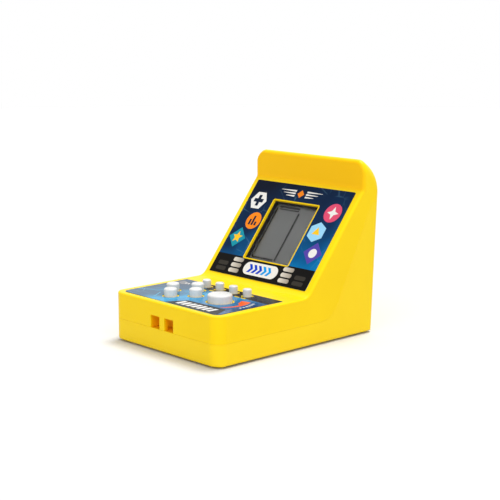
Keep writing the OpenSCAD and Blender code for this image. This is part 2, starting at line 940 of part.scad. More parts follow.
module wire(points) {
    sweep(route(points, 3), round_section(wire_r, 8), unit([0.6, 0.2, 1]));
}

module battery_wire_red() {
    color("red") wire(red_route);
}

module battery_wire_black() {
    color("dimgray") wire(black_route);
}

module buzzer() {
    color("goldenrod")
        on_back()
            translate([0, buzzer_y, buzzer_z])
                rotate([90, 0, 0]) {
                    translate([0, 0, -buzzer_plate_t]) cylinder(r = buzzer_r, h = buzzer_plate_t);
                    cylinder(r = buzzer_disc_r, h = buzzer_disc_t);
                }
}

module buzzer_wires() {
    color("firebrick")
        both_sides() wire(buzzer_route);
}

// Screw with its head's underside at the origin and its tip along +Z
module screw(r, l, head_r, head_h) {
    recess = 0.45 * head_h;
    cross_l = 1.2 * head_r;
    cross_w = 0.3 * head_r;
    difference() {
        union() {
            cylinder(r = r, h = l);
            translate([0, 0, -head_h]) cylinder(r = head_r, h = head_h);
        }
        for (a = [0, 90])
            rotate([0, 0, a])
                translate([-cross_l / 2, -cross_w / 2, -head_h - join])
                    cube([cross_l, cross_w, recess + join]);
    }
}

module case_screws() {
    color("silver")
        both_sides() {
            translate([base_screw_at[0], base_screw_at[1], base_screw_z])
                screw(case_screw_r, case_screw_l, case_head_r, case_head_h);
            translate([back_screw_x, back_screw_y, back_screw_z])
                rotate([90, 0, 0]) screw(case_screw_r, case_screw_l, case_head_r, case_head_h);
        }
}

module board_screws() {
    color("silver") {
        both_sides()
            for (y = board_post_y)
                translate([board_post_x, y, button_board_under])
                    screw(board_screw_r, board_screw_l, board_head_r, board_head_h);
        on_display()
            for (x = [-1, 1], y = [-1, 1])
                translate([x * main_post_x, y * main_post_reach, main_board_under])
                    screw(board_screw_r, board_screw_l, board_head_r, board_head_h);
    }
}

front_shell();
rear_shell();
battery_door();
screen_label();
deck_label();
display_frame();
display_window();
display_glass();
display_connector();
main_board();
button_board();
keypad();
flat_cable();
button_up();
button_down();
button_left();
button_right();
button_rotate();
button_power();
button_start();
button_reset();
button_sound();
cell_upper();
cell_lower();
battery_springs();
battery_contacts();
battery_wire_red();
battery_wire_black();
buzzer();
buzzer_wires();
case_screws();
board_screws();
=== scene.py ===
import math

import bmesh
import bpy
from mathutils import Matrix, Vector


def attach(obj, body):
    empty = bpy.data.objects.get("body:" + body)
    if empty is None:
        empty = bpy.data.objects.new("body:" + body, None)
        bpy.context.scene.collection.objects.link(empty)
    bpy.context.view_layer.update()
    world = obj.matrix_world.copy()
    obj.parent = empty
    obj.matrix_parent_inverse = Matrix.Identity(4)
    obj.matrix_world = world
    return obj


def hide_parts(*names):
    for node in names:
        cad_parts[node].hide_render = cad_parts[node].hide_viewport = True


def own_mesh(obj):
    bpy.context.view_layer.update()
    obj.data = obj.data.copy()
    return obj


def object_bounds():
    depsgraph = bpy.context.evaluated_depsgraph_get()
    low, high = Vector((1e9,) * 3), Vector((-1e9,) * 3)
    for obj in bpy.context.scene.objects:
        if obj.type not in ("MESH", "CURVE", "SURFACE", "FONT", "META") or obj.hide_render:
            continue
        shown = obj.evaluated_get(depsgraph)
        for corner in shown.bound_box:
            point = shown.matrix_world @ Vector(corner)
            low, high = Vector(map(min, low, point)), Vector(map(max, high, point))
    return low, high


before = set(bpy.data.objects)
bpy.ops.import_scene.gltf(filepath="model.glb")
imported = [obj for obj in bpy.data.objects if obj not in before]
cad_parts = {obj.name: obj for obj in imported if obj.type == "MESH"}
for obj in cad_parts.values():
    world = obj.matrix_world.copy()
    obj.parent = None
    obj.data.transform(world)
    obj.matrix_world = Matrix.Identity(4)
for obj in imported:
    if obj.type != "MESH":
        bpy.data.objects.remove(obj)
cad_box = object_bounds()


# Front shell: the button deck, the screen slope, the header and the upper sides in one piece.
# Yellow ABS, injection moulded with a satin face, a raised rim round the display window and two
# lanyard slots in its front wall. All else is stuck or screwed into it before the rear shell closes it.
mm = 0.001
front_y = cad_box[0].y
case_half = cad_box[1].x
back_y = -front_y
foot_h = 0.8 * mm
wall = 2 * mm
deck_z = 22.3 * mm
deck_under = deck_z - wall
seam_z = 10.4 * mm
slope_y = front_y + 52.1 * mm
slope_angle = math.radians(51.5)
header_y = front_y + 87.3 * mm
header_z = deck_z + (header_y - slope_y) * math.tan(slope_angle)
top_z = 81.2 * mm
top_fall = math.radians(35)
back_lean = math.radians(2.8)
crown_r, header_r, header_root_r, slope_root_r = 15 * mm, 2 * mm, 1.5 * mm, 6 * mm
base_r, back_r, crown_side_r, slope_r = 1 * mm, 3 * mm, 5.5 * mm, 1.3 * mm
deck_r, corner_r = 0.8 * mm, 5.5 * mm
crown_y = back_y - crown_r
crown_z = top_z - (crown_r + (crown_y - header_y) * math.sin(top_fall)) / math.cos(top_fall)
back_foot_y = crown_y + (crown_r + (foot_h - crown_z) * math.sin(back_lean)) / math.cos(back_lean)


def meet(p, d, q, e):
    """Crossing of the line through p along d with the line through q along e."""
    return p + d * ((q - p).cross(e) / d.cross(e))


crown_point = meet(Vector((header_y, top_z)), Vector((math.cos(top_fall), -math.sin(top_fall))),
                   Vector((back_foot_y, foot_h)), Vector((math.sin(back_lean), math.cos(back_lean))))

# Side view of the case: each corner's place, fillet radius (hollows negative), fillet steps, whether the
# fillet draws in with the greater inset of its two walls, and the side rounding of the wall that follows
case_corners = [
    ((front_y, foot_h), base_r, 8, False, base_r),
    ((back_foot_y, foot_h), base_r, 8, True, back_r),
    (crown_point, crown_r, 40, True, crown_side_r),
    ((header_y, top_z), header_r, 12, False, slope_r),
    ((header_y, header_z), -header_root_r, 8, False, slope_r),
    ((slope_y, deck_z), -slope_root_r, 16, False, deck_r),
    ((front_y, deck_z), deck_r, 12, False, corner_r),
]
least_r = 0.05 * mm


def left(v):
    return Vector((-v.y, v.x))


def rounded_outline(corners, insets):
    """Points of a closed outline with filleted corners, after each wall has moved in by its own inset."""
    points = []
    places = [Vector(c[0]) for c in corners]
    for i, (_, radius, steps, draws, *_) in enumerate(corners):
        into = (places[i] - places[i - 1]).normalized()
        out = (places[(i + 1) % len(places)] - places[i]).normalized()
        moved = insets[i - 1], insets[i]
        drawn = max(moved) if draws else min(moved)
        if radius > 0:
            radius = max(radius - drawn, least_r)
        elif radius < 0:
            radius -= drawn
        middle = meet(places[i] + left(into) * (moved[0] + radius), into,
                      places[i] + left(out) * (moved[1] + radius), out)
        turn = math.atan2(into.cross(out), into.dot(out))
        for k in range(steps + 1):
            arm = left(into)
            arm.rotate(Matrix.Rotation(turn * k / max(steps, 1), 2))
            points.append(middle - radius * arm)
    return points


def edge_inset(r, u):
    """How far a wall has drawn in at the distance u from the side, for a side edge of radius r."""
    return 0 if u >= r else r - math.sqrt(r * r - (r - u) ** 2)


def case_skin(inset):
    """The outer form of the case, or with an inset the hollow inside its walls, as a closed skin of rings."""
    rounding = [max(c[4] - inset, 2 * least_r) for c in case_corners]
    half = case_half - inset
    steps = 20
    depths = [max(rounding) * (k / steps) ** 2 for k in range(steps + 1)]
    stations = [(u - half, u) for u in depths] + [(half - u, u) for u in reversed(depths)]
    shape = bmesh.new()
    rings = []
    for x, u in stations:
        outline = rounded_outline(case_corners, [inset + edge_inset(r, u) for r in rounding])
        rings.append([shape.verts.new((x, y, z)) for y, z in outline])
    for near, far in zip(rings, rings[1:]):
        for i in range(len(near)):
            shape.faces.new((near[i - 1], near[i], far[i], far[i - 1]))
    shape.faces.new(rings[0])
    shape.faces.new(rings[-1])
    return shape


def add_prism(shape, outline, low, high, place=Matrix()):
    """Adds an upright prism over a flat outline to a bmesh."""
    rims = [[shape.verts.new(place @ Vector((x, y, z))) for x, y in outline] for z in (low, high)]
    for rim in rims:
        shape.faces.new(rim)
    for i in range(len(outline)):
        shape.faces.new((rims[0][i - 1], rims[0][i], rims[1][i], rims[1][i - 1]))


def rounded_rect(w, l, r, x=0, y=0, steps=6):
    return [(x + sx * (w / 2 - r) + r * math.cos(a), y + sy * (l / 2 - r) + r * math.sin(a))
            for sx, sy, start in ((1, 1, 0), (-1, 1, 90), (-1, -1, 180), (1, -1, 270))
            for a in (math.radians(start + 90 * k / steps) for k in range(steps + 1))]


def rect(x0, x1, y0, y1):
    return [(x0, y0), (x1, y0), (x1, y1), (x0, y1)]


def circle(r, x=0, y=0, points=64):
    return [(x + r * math.cos(math.tau * k / points), y + r * math.sin(math.tau * k / points))
            for k in range(points)]


def solid(name, shape):
    """Turns a bmesh into an object of the scene."""
    bmesh.ops.recalc_face_normals(shape, faces=shape.faces)
    mesh = bpy.data.meshes.new(name)
    shape.to_mesh(mesh)
    shape.free()
    piece = bpy.data.objects.new(name, mesh)
    bpy.context.scene.collection.objects.link(piece)
    return piece


def carve(piece, shape, operation):
    """Cuts a bmesh out of a piece, adds it to the piece or keeps only what they share."""
    tool = solid("tool", shape)
    step = piece.modifiers.new("carve", "BOOLEAN")
    step.operation = operation
    step.solver = "EXACT"
    step.use_self = True
    step.object = tool
    result = bpy.data.meshes.new_from_object(piece.evaluated_get(bpy.context.evaluated_depsgraph_get()))
    piece.modifiers.clear()
    piece.data = result
    bpy.data.objects.remove(tool)


def soften(piece, edge):
    """Breaks the sharp edges of a moulded piece and keeps its flat faces flat to the light."""
    limit = math.radians(35)
    piece.data.shade_smooth()
    piece.data.set_sharp_from_angle(angle=limit)
    bevel = piece.modifiers.new("soft_edges", "BEVEL")
    bevel.width = edge
    bevel.segments = 2
    bevel.limit_method = "ANGLE"
    bevel.angle_limit = limit
    bevel.use_clamp_overlap = False
    piece.modifiers.new("even_light", "WEIGHTED_NORMAL").keep_sharp = True


def plug(tree, socket, value):
    if isinstance(value, bpy.types.NodeSocket):
        tree.links.new(value, socket)
    else:
        socket.default_value = value


def node(tree, kind, values=None, **settings):
    """Adds a shader node with its settings and the values or links of its inputs."""
    made = tree.nodes.new("ShaderNode" + kind)
    for name, value in settings.items():
        setattr(made, name, value)
    for name, value in (values or {}).items():
        plug(tree, made.inputs[name], value)
    return made


def maths(tree, operation, *values):
    return node(tree, "Math", dict(enumerate(values)), operation=operation).outputs[0]


def object_place(tree):
    return node(tree, "TexCoord").outputs["Object"]


def mix_colour(tree, factor, first, second):
    return node(tree, "Mix", {0: factor, 6: first, 7: second}, data_type="RGBA").outputs[2]


def ranged(tree, value, low, high, start=0.0, end=1.0):
    return node(tree, "MapRange", {"Value": value, "From Min": start, "From Max": end,
                                   "To Min": low, "To Max": high}).outputs["Result"]


def node_group(name, inputs, outputs):
    tree = bpy.data.node_groups.new(name, "ShaderNodeTree")
    for label, default in inputs.items():
        socket = tree.interface.new_socket(label, in_out="INPUT", socket_type="NodeSocketFloat")
        socket.default_value = default
    for label in outputs:
        tree.interface.new_socket(label, in_out="OUTPUT", socket_type="NodeSocketFloat")
    return tree, tree.nodes.new("NodeGroupInput").outputs, tree.nodes.new("NodeGroupOutput").inputs


# Surface of a moulded or cast face: slow uneven tone, and the fine grain of the tool it left
moulded_face, given, put = node_group("moulded_face", {"Tone Scale": 60, "Grain Scale": 6000},
                                      ["Tone", "Grain"])
place = object_place(moulded_face)
tone = node(moulded_face, "TexNoise", {"Vector": place, "Scale": given["Tone Scale"], "Detail": 3})
grain = node(moulded_face, "TexNoise", {"Vector": place, "Scale": given["Grain Scale"], "Detail": 2})
plug(moulded_face, put["Tone"], ranged(moulded_face, tone.outputs["Fac"], 0, 1, 0.3, 0.7))
plug(moulded_face, put["Grain"], grain.outputs["Fac"])


def new_material(name, **sockets):
    """Material with one Principled shader, whose even values are set on its own sockets."""
    made = bpy.data.materials.new(name)
    made.use_nodes = True
    shader = made.node_tree.nodes["Principled BSDF"]
    for label, value in sockets.items():
        shader.inputs[label.replace("_", " ")].default_value = value
    return made, made.node_tree, shader.inputs


def box_share(tree, low, high, soft):
    """Share that is 1 inside a box and falls to 0 across a soft edge round it."""
    middle = (low + high) / 2
    off = node(tree, "VectorMath", {0: object_place(tree), 1: middle}, operation="SUBTRACT").outputs[0]
    off = node(tree, "VectorMath", {0: off}, operation="ABSOLUTE").outputs[0]
    off = node(tree, "VectorMath", {0: off, 1: (high - low) / 2}, operation="SUBTRACT").outputs[0]
    off = node(tree, "SeparateXYZ", {"Vector": off}).outputs
    furthest = maths(tree, "MAXIMUM", maths(tree, "MAXIMUM", off["X"], off["Y"]), off["Z"])
    return ranged(tree, furthest, 1, 0, 0, soft)


def moulded(name, colour, shade, rough, painted_light_boxes=(), depth=0.15, **sockets):
    """Plastic, rubber or lacquer: a slow change of tone, a painted tone for light or shade in some boxes, and
    a fine grain.
    """
    made, tree, shader = new_material(name, **sockets)
    face = node(tree, "Group", node_tree=moulded_face)
    shown = mix_colour(tree, face.outputs["Tone"], (*shade, 1), (*colour, 1))
    # Painted light: each box mixes in a tone that stands for the light or shade falling there
    for low, high, soft, deep in painted_light_boxes:
        shown = mix_colour(tree, box_share(tree, Vector(low), Vector(high), soft), shown, (*deep, 1))
    plug(tree, shader["Base Color"], shown)
    plug(tree, shader["Roughness"], ranged(tree, face.outputs["Grain"], *rough))
    bump = node(tree, "Bump", {"Height": face.outputs["Grain"], "Strength": depth, "Distance": 0.02 * mm})
    plug(tree, shader["Normal"], bump.outputs["Normal"])
    return made


bar_w, bar_x, slot_w, slot_h = 3.3 * mm, -0.9 * mm, 5.9 * mm, 5.6 * mm
pocket_half, pocket_d, pocket_t = bar_w / 2 + slot_w, 6.2 * mm, 1 * mm
pocket_left, pocket_right = bar_x - pocket_half, bar_x + pocket_half

# Painted light: the yellow is painted more orange where light comes only through the plastic or off its own
# faces
# Painted light in the lanyard pocket, standing for the light that comes through its thin walls
pocket_painted_light = ((pocket_left - pocket_t, front_y + 1.2 * mm, seam_z - pocket_t),
             (pocket_right + pocket_t, front_y + pocket_d + pocket_t, seam_z + slot_h + pocket_t),
             0.9 * mm, (1.0, 0.50, 0.001))
# Painted bounce light on the header face, standing for the light off the case's own yellow faces
header_painted_bounce_light = ((-case_half, header_y - 1 * mm, header_z), (case_half, header_y + 0.2 * mm, top_z - 3 * mm),
             1.5 * mm, (0.985, 0.56, 0.001))
yellow_abs = moulded("yellow_abs", (0.98, 0.68, 0.004), (0.96, 0.655, 0.0035), (0.28, 0.40),
                     (pocket_painted_light, header_painted_bounce_light), Specular_IOR_Level=0.12)


def dress(piece, material, body):
    """Gives a piece its material and the body that it moves with."""
    piece.data.materials.clear()
    piece.data.materials.append(material)
    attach(piece, body)


# The seam runs level round the front, bends up the side and ends behind the header
beyond = 6 * mm
seam_end_y = front_y + 102.05 * mm
rear_corners = [
    ((front_y - beyond, -beyond), 0, 0, False),
    ((seam_end_y, -beyond), 0, 0, False),
    ((seam_end_y, seam_z + 55.8 * mm), 0, 0, False),
    ((front_y + 92.05 * mm, seam_z + 48.4 * mm), 3 * mm, 8, False),
    ((front_y + 68.1 * mm, seam_z), -12 * mm, 20, False),
    ((front_y - beyond, seam_z), 0, 0, False),
]
seam_gap = 0.012 * mm
sideways = Matrix(((0, 0, 1, 0), (1, 0, 0, 0), (0, 1, 0, 0), (0, 0, 0, 1)))


def rear_share(shift):
    """Everything below and behind the seam, raised or lowered by the gap of the seam."""
    shape = bmesh.new()
    outline = rounded_outline(rear_corners, [0] * len(rear_corners))
    add_prism(shape, [(p.x, p.y + shift) for p in outline], -2 * case_half, 2 * case_half, sideways)
    return shape


slope_frame = Matrix.Translation((0, slope_y, deck_z)) @ Matrix.Rotation(slope_angle, 4, "X")
rim_mid = 28.9 * mm
rim_w, rim_l, rim_h, rim_t, rim_r = 30 * mm, 32.8 * mm, 0.3 * mm, 0.5 * mm, 1 * mm
window_w, window_l, window_r = rim_w - 2 * rim_t, rim_l - 2 * rim_t, 0.3 * mm
display_frame_place = slope_frame @ Matrix.Translation((0, rim_mid, 0))

dpad_x, dpad_y, dpad_reach = -9 * mm, front_y + 19.5 * mm, 7.8 * mm
rotate_at = (14.3 * mm, front_y + 19.8 * mm)
small_y = front_y + 35.6 * mm
dpad_size, rotate_size, small_size = (5.8 * mm, 3.8 * mm), (10.7 * mm, 3.8 * mm), (3.9 * mm, 3.6 * mm)
# Each button's place, diameter and height above the deck
button_places = {
    "up": (dpad_x, dpad_y + dpad_reach, *dpad_size),
    "down": (dpad_x, dpad_y - dpad_reach, *dpad_size),
    "left": (dpad_x - dpad_reach, dpad_y, *dpad_size),
    "right": (dpad_x + dpad_reach, dpad_y, *dpad_size),
    "rotate": (*rotate_at, *rotate_size),
    "power": (-12.4 * mm, small_y, *small_size),
    "start": (-3.6 * mm, small_y, *small_size),
    "reset": (5.4 * mm, small_y, *small_size),
    "sound": (14.4 * mm, small_y, *small_size),
}
hole_gap = 0.25 * mm
pocket_outline = rect(pocket_left - pocket_t, pocket_right + pocket_t,
                      front_y + wall / 2, front_y + pocket_d + pocket_t)
fit_gap = 0.1 * mm
post_r, board_post_r = 3 * mm, 2.3 * mm
case_bore_r, board_bore_r = 1.33 * mm, 0.98 * mm
base_screw, base_post_low = (28.5 * mm, front_y + 6.5 * mm), 11.3 * mm
back_screw, back_post, back_bore_start = (28.8 * mm, 54 * mm), (31.2 * mm, 42.4 * mm), 32 * mm
board_post_x = 27 * mm
board_post_y = (front_y + 17 * mm, front_y + 38 * mm)
button_board_top = 15.45 * mm
main_board_top = -6.6 * mm
main_posts = [(x * 22.3 * mm, y * 20 * mm) for x in (-1, 1) for y in (-1, 1)]
backwards = Matrix.Rotation(math.radians(-90), 4, "X")

added, cut = bmesh.new(), bmesh.new()
add_prism(added, rounded_rect(rim_w, rim_l, rim_r), -wall / 2, rim_h, display_frame_place)
add_prism(cut, rounded_rect(window_w, window_l, window_r, steps=2), -2 * wall, 2 * rim_h, display_frame_place)
for x, y, d, _ in button_places.values():
    add_prism(cut, circle(d / 2 + hole_gap, x, y), deck_under - wall, deck_z + wall)
add_prism(added, pocket_outline, seam_z + fit_gap, seam_z + slot_h + pocket_t)
add_prism(cut, rect(pocket_left, pocket_right, front_y + wall, front_y + pocket_d),
          seam_z - wall, seam_z + slot_h)
for s in (-1, 1):
    slot_x = bar_x + s * (bar_w + slot_w) / 2
    add_prism(cut, rect(slot_x - slot_w / 2, slot_x + slot_w / 2, front_y - wall, front_y + 1.5 * wall),
              seam_z - wall, seam_z + slot_h)
    x, y = s * base_screw[0], base_screw[1]
    add_prism(added, circle(post_r, x, y, 32), base_post_low, deck_under + wall / 2)
    add_prism(cut, circle(case_bore_r, x, y, 24), base_post_low - wall, deck_under - wall / 2)
    post_place = Matrix.Translation((s * back_screw[0], 0, back_screw[1])) @ backwards
    add_prism(added, circle(post_r, points=32), *back_post, post_place)
    add_prism(cut, circle(case_bore_r, points=24), back_bore_start, back_post[1] + wall, post_place)
    x = s * board_post_x
    for y in board_post_y:
        add_prism(added, circle(board_post_r, x, y, 32), button_board_top, deck_under + wall / 2)
        add_prism(cut, circle(board_bore_r, x, y, 24), button_board_top - wall, deck_under)
for x, y in main_posts:
    add_prism(added, circle(board_post_r, x, y, 32), main_board_top, -wall / 2, display_frame_place)
    add_prism(cut, circle(board_bore_r, x, y, 24), main_board_top - wall, -1.2 * wall, display_frame_place)
front_shell = solid("front_shell_moulding", case_skin(0))
carve(front_shell, case_skin(wall), "DIFFERENCE")
carve(front_shell, rear_share(seam_gap), "DIFFERENCE")
carve(front_shell, added, "UNION")
carve(front_shell, cut, "DIFFERENCE")
soften(front_shell, 0.1 * mm)
dress(front_shell, yellow_abs, "case")
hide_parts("front_shell")


# Screen label: a printed film stuck on the slope round the display rim, blue with light streaks.
# Polyester printed from behind. Its ornament is generic: a band of bars with a white plate of chevrons
# below the display, plain shapes beside it and tapered stripes above it.
label_t = 0.2 * mm
ink_t = 0.02 * mm

# Light streaks of the printed ground: thin edges of long cells, strong in some places and gone in others
light_streaks, given, put = node_group("light_streaks", {"Cell Scale": 90, "Width": 0.03},
                                       ["Streak", "Cloud"])
place = object_place(light_streaks)
cloud = node(light_streaks, "TexNoise", {"Vector": place, "Scale": 55, "Detail": 2})
cells = node(light_streaks, "TexVoronoi", {"Vector": place, "Scale": given["Cell Scale"], "Randomness": 0.9},
             feature="DISTANCE_TO_EDGE")
edge = ranged(light_streaks, cells.outputs["Distance"], 1, 0, 0, given["Width"])
patch = ranged(light_streaks, cloud.outputs["Fac"], 0, 1, 0.45, 0.7)
plug(light_streaks, put["Streak"], maths(light_streaks, "MULTIPLY", edge, patch))
plug(light_streaks, put["Cloud"], cloud.outputs["Fac"])


def dot(tree, first, second):
    return node(tree, "VectorMath", {0: first, 1: second}, operation="DOT_PRODUCT").outputs["Value"]


def colour_ramp(tree, share, stops, interpolation="LINEAR"):
    """Colour that runs through the stops. The first two may be the two ends."""
    ramp = node(tree, "ValToRGB", {"Fac": share})
    ramp.color_ramp.interpolation = interpolation
    for k, (position, colour) in enumerate(stops):
        stop = ramp.color_ramp.elements[k] if k < 2 else ramp.color_ramp.elements.new(position)
        stop.position = position
        stop.color = (*colour, 1)
    return ramp.outputs["Color"]


def printed_ground(name, along, start, stops, streak, cell_scale, **gloss):
    """Printed film whose colour runs through the stops along a direction, with light streaks over it."""
    made, tree, shader = new_material(name, **gloss)
    run = dot(tree, object_place(tree), along)
    streaks = node(tree, "Group", node_tree=light_streaks)
    streaks.inputs["Cell Scale"].default_value = cell_scale
    cloudy = ranged(tree, streaks.outputs["Cloud"], -0.3, 0.3)
    share = maths(tree, "ADD", maths(tree, "SUBTRACT", run, start), cloudy)
    faint = ranged(tree, streaks.outputs["Streak"], 0, streak)
    ground = colour_ramp(tree, share, stops)
    plug(tree, shader["Base Color"], mix_colour(tree, faint, ground, (0.30, 0.62, 0.85, 1)))
    return made


def dress_node(name, material):
    """Gives a CAD part that stays in view its material."""
    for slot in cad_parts[name].material_slots:
        slot.material = material


def run_along(direction, near, far):
    """Vector and offset that turn a place into its share of the way from near to far along a direction."""
    across = direction.normalized() / (far - near)
    return across, near / (far - near)


def slope_point(x, v):
    return slope_frame @ Vector((x, v, 0))


slope_down = slope_point(0.35, -1) - slope_point(0, 0)
top_corner = slope_point(-31.6 * mm, 54.3 * mm)
low_corner = slope_point(31.6 * mm, 2.9 * mm)
along, start = run_along(slope_down, top_corner.dot(slope_down.normalized()),
                         low_corner.dot(slope_down.normalized()))
screen_gloss = {"Roughness": 0.3, "Specular_IOR_Level": 0.05}
screen_stops = [(0.0, (0.002, 0.005, 0.018)), (1.0, (0.001, 0.22, 0.54)),
                (0.4, (0.002, 0.020, 0.068)), (0.7, (0.001, 0.085, 0.240))]
dress_node("screen_label",
           printed_ground("screen_print", along, start, screen_stops, 0.25, 110, **screen_gloss))

# Flat ink over the ground: a slight unevenness of tone, as a screen print has
print_tone, given, put = node_group("print_tone", {"Dot Scale": 3500}, ["Tone"])
place = object_place(print_tone)
dots = node(print_tone, "TexNoise", {"Vector": place, "Scale": given["Dot Scale"], "Detail": 1})
plug(print_tone, put["Tone"], ranged(print_tone, dots.outputs["Fac"], 0, 1, 0.35, 0.65))


def ink(name, colour, depth=0.9, **gloss):
    made, tree, shader = new_material(name, **(gloss or screen_gloss))
    tone = node(tree, "Group", node_tree=print_tone)
    thin = tuple(depth * c for c in colour)
    plug(tree, shader["Base Color"], mix_colour(tree, tone.outputs["Tone"], (*thin, 1), (*colour, 1)))
    return made


white_ink = ink("white_ink", (0.80, 0.79, 0.76))
black_ink = ink("black_ink", (0.005, 0.0045, 0.004), 0.7)
blue_ink = ink("blue_ink", (0.004, 0.05, 0.55))
cyan_ink = ink("cyan_ink", (0.003, 0.32, 0.80))
grey_ink = ink("grey_ink", (0.038, 0.034, 0.028))
yellow_ink = ink("yellow_ink", (0.92, 0.55, 0.02))
orange_ink = ink("orange_ink", (0.90, 0.24, 0.012))
pink_ink = ink("pink_ink", (0.70, 0.075, 0.16))
sky_ink = ink("sky_ink", (0.30, 0.62, 0.85))
violet_ink = ink("violet_ink", (0.085, 0.055, 0.36))
teal_ink = ink("teal_ink", (0.01, 0.27, 0.36))
navy_ink = ink("navy_ink", (0.004, 0.012, 0.035))


def printed(name, outlines, material, layer, place):
    """Flat printed shapes, as thin plates on the film that carries them."""
    shape = bmesh.new()
    for outline in outlines:
        add_prism(shape, outline, label_t - ink_t, label_t + layer * ink_t, place)
    piece = solid(name, shape)
    dress(piece, material, "case")
    return piece


def polygon(r, sides, x, y, turn=0):
    return [(x + r * math.cos(math.tau * k / sides + turn), y + r * math.sin(math.tau * k / sides + turn))
            for k in range(sides)]


def chevron(x, y, w, h):
    low, high = y - h / 2, y + h / 2
    return [(x, low), (x + w, low), (x + 2 * w, y), (x + w, high), (x, high), (x + w, y)]


def mm_shape(outline):
    return [(x * mm, y * mm) for x, y in outline]


def screen_print(name, outlines, material, layer):
    printed("screen_" + name, [mm_shape(o) for o in outlines], material, layer, slope_frame)


band = [(-31.4, 2.9), (31.4, 2.9), (31.6, 3.1), (31.6, 13.1), (15.1, 13.1), (15.1, 12.4),
        (-15.1, 12.4), (-15.1, 13.1), (-31.6, 13.1), (-31.6, 3.1)]
screen_print("band", [band], black_ink, 1)
screen_print("plate", [rounded_rect(22, 6.6, 3.25, 0, 8.1)], white_ink, 2)
screen_print("chevrons", [chevron(x, 8.1, 1.7, 4.3) for x in (-8.2, -5.2, -2.2)], blue_ink, 3)
screen_print("light_chevrons", [chevron(x, 8.1, 1.7, 4.3) for x in (0.8, 3.8)], cyan_ink, 3)

# The bars beside the plate fade from light to dark, each from its left end to its right
bar_l, bar_reach, bar_rows = 6.6, 16.45, (11.2, 8.3, 5.45)
silver_fade, tree, shader = new_material("silver_fade", **screen_gloss)
x = node(tree, "SeparateXYZ", {"Vector": object_place(tree)}).outputs["X"]
count = ranged(tree, x, 0, 1, -(bar_reach + bar_l / 2) * mm, (bar_reach - bar_l / 2) * mm)
count.node.clamp = False
faded = ranged(tree, maths(tree, "FRACT", count), 0, 1, 0, bar_l / (2 * bar_reach))
plug(tree, shader["Base Color"], mix_colour(tree, faded, (0.66, 0.62, 0.55, 1), (0.30, 0.265, 0.215, 1)))
screen_print("bars", [rounded_rect(bar_l, 2.1, 0.9, s * bar_reach, v) for s in (-1, 1) for v in bar_rows],
             silver_fade, 2)
screen_print("dim_bars", [rounded_rect(bar_l, 2.1, 0.9, s * 25.2, v) for s in (-1, 1) for v in bar_rows[1:]],
             grey_ink, 2)

# Above the display: a diamond between two wings of stripes
wing_rows = ((51.0, 13.2), (49.6, 11.0), (48.2, 8.8))
screen_print("wings", [[(s * 3.4, v - 0.45), (s * reach, v - 0.1), (s * reach, v + 0.1), (s * 3.4, v + 0.45)]
                       for s in (-1, 1) for v, reach in wing_rows], white_ink, 1)
screen_print("middle_mark", [polygon(2.1, 4, 0, 49.6)], orange_ink, 1)


def plus(x, y, reach, arm):
    """Outline of an upright cross."""
    corners = [(arm, arm), (arm, reach), (-arm, reach), (-arm, arm), (-reach, arm), (-reach, -arm),
               (-arm, -arm), (-arm, -reach), (arm, -reach), (arm, -arm), (reach, -arm), (reach, arm)]
    return [(x + u, y + v) for u, v in corners]


def star(x, y, r, points, share):
    """Outline of a star whose inner corners lie at a share of its radius."""
    return [(x + r * (share if k % 2 else 1) * math.cos(math.pi * k / points + math.pi / 2),
             y + r * (share if k % 2 else 1) * math.sin(math.pi * k / points + math.pi / 2))
            for k in range(2 * points)]


# Beside the display: plain badges in a staggered row on each side, each with a simple figure
screen_print("white_badges", [polygon(5.2, 6, -24.2, 43.2)], white_ink, 1)
screen_print("orange_badges", [circle(4.6, -20.6, 32.2)], orange_ink, 1)
screen_print("teal_badges", [polygon(5.4, 4, -25.2, 22.4)], teal_ink, 1)
screen_print("pink_badges", [circle(4.9, 24.6, 42.4)], pink_ink, 1)
screen_print("sky_badges", [polygon(5.2, 6, 20.9, 31.8, math.pi / 6)], sky_ink, 1)
screen_print("violet_badges", [polygon(5.6, 4, 25, 21.2)], violet_ink, 1)
screen_print("dark_figures", [plus(-24.2, 43.2, 3, 0.95)] + [rect(x - 0.6, x + 0.6, 29.8, v) for x, v in
                              ((-22.5, 32.8), (-20.6, 34.8), (-18.7, 31.8))], navy_ink, 2)
screen_print("light_figures", [star(24.6, 42.4, 3.4, 4, 0.4), circle(2.3, 25, 21.2)], white_ink, 2)
screen_print("yellow_figures", [star(-25.2, 22.4, 3.2, 5, 0.45), polygon(2.6, 3, 20.9, 31.8, math.pi / 2)],
             yellow_ink, 2)


# Deck label: a printed film stuck on the deck, with a round cut-out for each button.
# Polyester printed from behind, grey-blue at the left and deep blue at the right, with a dark bar at the
# front, a dark band under the small buttons and an arrow round the rotate button.
deck_frame = Matrix.Translation((0, front_y, deck_z))
deck_gloss = {"Roughness": 0.12, "Specular_IOR_Level": 0.12}
deck_stops = [(0.0, (0.016, 0.035, 0.085)), (1.0, (0.008, 0.05, 0.17)), (0.35, (0.016, 0.10, 0.19)),
              (0.5, (0.014, 0.34, 0.62)), (0.72, (0.012, 0.17, 0.38))]
along, start = run_along(Vector((1, -0.25, 0)), -34 * mm, 44 * mm)
dress_node("deck_label", printed_ground("deck_print", along, start, deck_stops, 0.3, 120, **deck_gloss))
dull_gloss = {"Roughness": 0.2, "Specular_IOR_Level": 0.05}
deck_black = ink("deck_black", (0.014, 0.012, 0.011), 0.7, **dull_gloss)
deck_grey = ink("deck_grey", (0.20, 0.20, 0.21), **deck_gloss)
deck_white = ink("deck_white", (0.80, 0.79, 0.76), **deck_gloss)
deck_orange = ink("deck_orange", (0.93, 0.115, 0.006), **dull_gloss)
deck_gold = ink("deck_gold", (0.72, 0.52, 0.01), **dull_gloss)
deck_sky = ink("deck_sky", (0.06, 0.42, 0.66), **deck_gloss)


def deck_print(name, outlines, material, layer):
    return printed("deck_" + name, [mm_shape(o) for o in outlines], material, layer, deck_frame)


def turned(x, y, r, angle):
    """Place at a distance and an angle from a point."""
    return x + r * math.cos(math.radians(angle)), y + r * math.sin(math.radians(angle))


